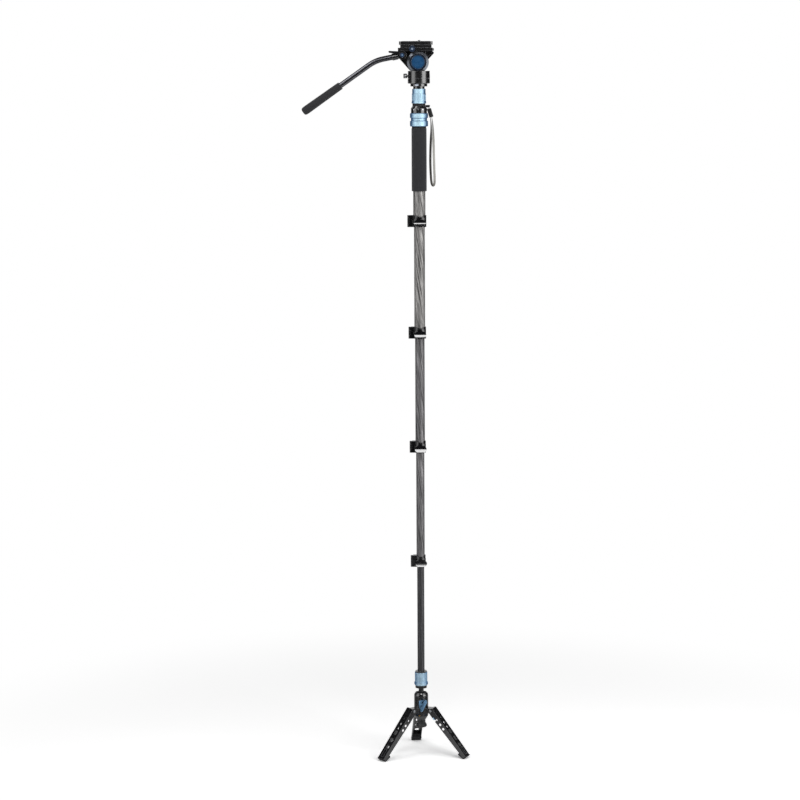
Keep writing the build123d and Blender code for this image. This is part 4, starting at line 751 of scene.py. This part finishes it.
# The pan bar's sleeve starts where the bar leaves it and tapers out to a rounded end.
bar_sleeve = turned("pan_bar_sleeve", [(7.22, 0.0), (9.2, 0.0), (9.75, 0.35), (9.95, 1.0), (10.1, 12.0), (10.3, 40.0),
                                       (10.6, 70.0), (10.85, 95.0), (10.95, 106.0), (10.8, 111.0), (10.3, 114.4),
                                       (9.2, 116.9), (7.4, 118.4), (5.0, 119.0), (2.5, 119.2), (0.0, 119.2),
                                       (0.0, 107.3), (7.22, 107.3)])
bar_start = Vector((-202.6, -36.2, 1784.6555)) * MM
bar_run = Vector((-90.6, 0.0, -63.4)).normalized()
bar_sleeve.matrix_world = Matrix.Translation(bar_start) @ bar_run.to_track_quat("Z", "Y").to_matrix().to_4x4()
bpy.ops.object.transform_apply(location=True, rotation=True, scale=True)
bar_sleeve.data.materials.append(finishes["foam"])
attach(bar_sleeve, "bar")
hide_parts("pan_bar_grip")

# ---------------------------------------------------------------- small modelled pieces


def settle(piece, place, body, finish):
    """Bakes a piece's place into its mesh, dresses it and hangs it on a body."""
    pick(piece)
    piece.matrix_world = place
    bpy.ops.object.transform_apply(location=True, rotation=True, scale=True)
    piece.data.materials.append(finishes[finish])
    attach(piece, body)


def copies(model, places, finish):
    """Copies one modelled piece to each (name, place, body), each copy with its own mesh."""
    for name, place, body in places:
        copy = model.copy()
        copy.data = model.data.copy()
        copy.name = name
        scene.collection.objects.link(copy)
        settle(copy, place, body, finish)
    bpy.data.objects.remove(model)


def facing(x, y, z, direction, scale=(1.0, 1.0, 1.0)):
    """A place in mm whose upright axis points along a direction."""
    turned_to = Vector(direction).to_track_quat("Z", "Y").to_matrix().to_4x4()
    return Matrix.Translation(Vector((x, y, z)) * MM) @ turned_to @ Matrix.Diagonal((*scale, 1.0))


def socket_head(radius, height, socket):
    """A screw head on the ground plane, its rim rounded, a hexagonal socket sunk in its top; mm."""
    bpy.ops.object.select_all(action="DESELECT")
    bpy.ops.mesh.primitive_cylinder_add(vertices=48, radius=radius * MM, depth=height * MM,
                                        location=(0.0, 0.0, height / 2 * MM))
    head = bpy.context.object
    bpy.ops.object.transform_apply(location=True, rotation=True, scale=True)
    shaped(head, "rim", "BEVEL", width=height * 0.3 * MM, segments=3, limit_method="ANGLE")
    bpy.ops.object.select_all(action="DESELECT")
    bpy.ops.mesh.primitive_cylinder_add(vertices=6, radius=socket * MM, depth=height * MM,
                                        location=(0.0, 0.0, height * MM))
    cutter = bpy.context.object
    pick(head)
    shaped(head, "socket", "BOOLEAN", object=cutter)
    bpy.data.objects.remove(cutter)
    bpy.ops.object.shade_smooth_by_angle(angle=radians(40))
    return head


# Hinge screws of the legs, one on each end of each pin
hinge_radius, hinge_height, pin_reach = 32.7, 122.1356, 14.45
leg_places = []
for number, turn in enumerate((95.8, 215.8, 335.8), start=1):
    middle = Vector((hinge_radius * cos(radians(turn)), hinge_radius * sin(radians(turn)), hinge_height))
    axis = Vector((-sin(radians(turn)), cos(radians(turn)), 0.0))
    for side, sign in (("left", 1.0), ("right", -1.0)):
        leg_places.append((f"leg_screw_{number}_{side}",
                           facing(*(middle + axis * sign * pin_reach), axis * sign), "base"))
copies(socket_head(3.1, 0.9, 1.45), leg_places, "steel")

# Clamp bolts of the flip locks, on the back of their ears
lock_middles = (1432.2355, 1138.9355, 835.2355, 527.4355)
lock_shells = (18.4, 16.6, 14.9, 13.3)
ear_reach, ear_back = 3.3, 9.95
copies(socket_head(2.9, 0.9, 1.45), [
    (f"lock_bolt_head_{number}", facing(-shell - ear_reach, ear_back, middle, (0.0, 1.0, 0.0)),
     f"section_{number}")
    for number, (shell, middle) in enumerate(zip(lock_shells, lock_middles), start=1)], "steel")

# Set screws of the strap ring
ring_radius, ring_middle = 20.9, 1721.6
copies(socket_head(1.9, 0.8, 0.85), [
    (f"strap_ring_screw_{number}",
     facing(ring_radius * sin(radians(turn)), -ring_radius * cos(radians(turn)), ring_middle,
            (sin(radians(turn)), -cos(radians(turn)), 0.0)), "strap")
    for number, turn in enumerate((-40.0, -5.0, 28.0), start=1)], "steel")

# The oval finger pad of each flip lever: a puck whose front is flat above and leans out below, up to the light
pad_radius, pad_depth, pad_height_share = 15.7, 6.8, 0.64
bpy.ops.object.select_all(action="DESELECT")
bpy.ops.mesh.primitive_cylinder_add(vertices=96, radius=pad_radius * MM, depth=pad_depth * MM,
                                    location=(0.0, -pad_depth / 2 * MM, 0.0), rotation=(radians(90.0), 0.0, 0.0))
pad = bpy.context.object
pad.name = "lever_pad"
bpy.ops.object.transform_apply(location=True, rotation=True, scale=True)
bpy.ops.transform.resize(value=(1.0, 1.0, pad_height_share), center_override=(0.0, 0.0, 0.0))
bpy.ops.object.transform_apply(location=True, rotation=True, scale=True)
# the scoop's side outline as (depth, height): down the flat face, round a tight bend, then along a wide lean
face_depth, bend_height, bend_radius = -1.6, 2.0, 5.6
lean_depth, lean_height, lean_radius, lean_start = -2.19, -0.5, 58.0, 26.5
clear = 20.0
front = [(face_depth, clear), (face_depth, bend_height)]
front += [(face_depth - bend_radius * (1 - cos(radians(lean))), bend_height - bend_radius * sin(radians(lean)))
          for lean in range(3, 27, 3)]
front += [(lean_depth - lean_radius * (cos(radians(lean_start)) - cos(radians(lean))),
           lean_height - lean_radius * (sin(radians(lean)) - sin(radians(lean_start))))
          for lean in (lean_start, 28.5, 30.5, 32.5, 34.5, 36.5)]
front += [(-clear, front[-1][1]), (-clear, clear)]
bpy.ops.object.select_all(action="DESELECT")
bpy.ops.mesh.primitive_plane_add(size=MM)
scoop = bpy.context.object
bpy.ops.object.mode_set(mode="EDIT")
bpy.ops.mesh.select_all(action="SELECT")
bpy.ops.mesh.merge(type="CENTER")
bpy.ops.transform.translate(value=(-30.0 * MM, front[0][0] * MM, front[0][1] * MM))
for (depth, height), (next_depth, next_height) in zip(front, front[1:]):
    bpy.ops.mesh.extrude_region_move(TRANSFORM_OT_translate={
        "value": (0.0, (next_depth - depth) * MM, (next_height - height) * MM)})
bpy.ops.mesh.select_all(action="SELECT")
bpy.ops.mesh.edge_face_add()
bpy.ops.mesh.extrude_region_move(TRANSFORM_OT_translate={"value": (60.0 * MM, 0.0, 0.0)})
bpy.ops.mesh.select_all(action="SELECT")
bpy.ops.mesh.normals_make_consistent(inside=False)
bpy.ops.object.mode_set(mode="OBJECT")
pick(pad)
shaped(pad, "scoop", "BOOLEAN", object=scoop)
bpy.data.objects.remove(scoop)
shaped(pad, "lip", "BEVEL", width=1.2 * MM, segments=4, limit_method="ANGLE")
bpy.ops.object.shade_smooth_by_angle(angle=radians(40))
# the broad faces keep their own normals, so that the narrow rounded edge doesn't bend the mirror image in them
shaped(pad, "broad faces", "WEIGHTED_NORMAL", weight=100)
copies(pad, [(f"lever_pad_{number}", Matrix.Translation(Vector((1.2, -shell - 2.6, middle - 4.4)) * MM),
              f"lever_{number}") for number, (shell, middle) in enumerate(zip(lock_shells, lock_middles), start=1)],
       "gloss")

# Black seats on the top tube, seen between the strap ring and the collar and under the grip ring
collar_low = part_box("upper_collar")[0].z / MM
seat_bore = 16.1
# the upper one is thin, because the strap ring's lug turns round it with its root at 17.1 mm
for name, low, high, radius in (("collar_seat", 1731.2, collar_low - 0.3, 16.85),
                                ("grip_ring_seat", grip_high + 0.2, 1677.7, 18.8)):
    seat = turned(name, [(seat_bore, low), (radius - 0.3, low), (radius, low + 0.3), (radius, high - 0.3),
                         (radius - 0.3, high), (seat_bore, high)], 96)
    settle(seat, Matrix.Identity(4), "section_1", "rubber")

# Spirit level let into the front of the platform: a black bezel round a pale vial
level_place = facing(-5.5, -20.4, 1785.4, (-0.25, -1.0, 0.0), (1.0, 0.56, 1.0))
bezel = turned("level_bezel", [(5.3, 0.0), (6.9, 0.0), (6.9, 1.8), (6.5, 2.3), (5.9, 2.4), (5.5, 2.1), (5.3, 1.6)], 64)
settle(bezel, level_place, "section_1", "black")
vial = turned("level_vial", [(0.0, 0.3), (5.25, 0.3), (5.25, 1.5), (4.6, 2.1), (3.0, 2.5), (0.0, 2.6)], 64)
settle(vial, level_place, "section_1", "vial")

# Bright ring on the pan lock knob
knob_ring = turned("pan_knob_ring", [(5.8, -1.2), (6.1, -1.3), (6.35, -0.9), (6.4, 0.0), (6.35, 0.9), (6.1, 1.3),
                                     (5.8, 1.2)], 64)
settle(knob_ring, facing(-35.2, 0.0, 1808.3555, (-1.0, 0.0, 0.0)), "pan_knob", "steel")

# The strap's keeper, a stitched sleeve round both runs below the lug
keeper = turned("strap_keeper", [(4.25, -9.4), (4.6, -9.9), (5.0, -9.6), (5.2, -8.6), (5.1, 0.0), (5.2, 11.8),
                                 (5.0, 12.8), (4.6, 13.1), (4.25, 12.6), (4.15, 0.0)], 48)
settle(keeper, facing(29.6, 0.0, 1711.5, (-0.283, 0.0, 0.96), (0.66, 1.08, 1.0)), "strap", "rubber")

# Rubber pads on the camera plate: rounded strips with a raised middle
for name, low, high in (("plate_pad_front", (-45.0, -21.0), (30.0, -7.0)),
                        ("plate_pad_back", (-11.0, 7.0), (30.0, 21.0))):
    bpy.ops.object.select_all(action="DESELECT")
    bpy.ops.mesh.primitive_cube_add(size=1.0)
    rubber_pad = bpy.context.object
    rubber_pad.name = name
    rubber_pad.scale = ((high[0] - low[0]) * MM, (high[1] - low[1]) * MM, 0.5 * MM)
    bpy.ops.object.transform_apply(location=True, rotation=True, scale=True)
    bpy.ops.object.mode_set(mode="EDIT")
    bpy.ops.mesh.select_mode(type="FACE")
    bpy.ops.mesh.select_all(action="DESELECT")
    shape = bmesh.from_edit_mesh(rubber_pad.data)
    for face in shape.faces:
        face.select = face.normal.z > 0.9
    bpy.ops.mesh.inset(thickness=1.2 * MM)
    bpy.ops.mesh.extrude_region_move(TRANSFORM_OT_translate={"value": (0.0, 0.0, 0.35 * MM)})
    bpy.ops.object.mode_set(mode="OBJECT")
    shaped(rubber_pad, "soft edge", "BEVEL", width=0.18 * MM, segments=2, limit_method="ANGLE")
    settle(rubber_pad, Matrix.Translation(Vector(((low[0] + high[0]) / 2, (low[1] + high[1]) / 2, 1897.15)) * MM),
           "plate", "rubber")
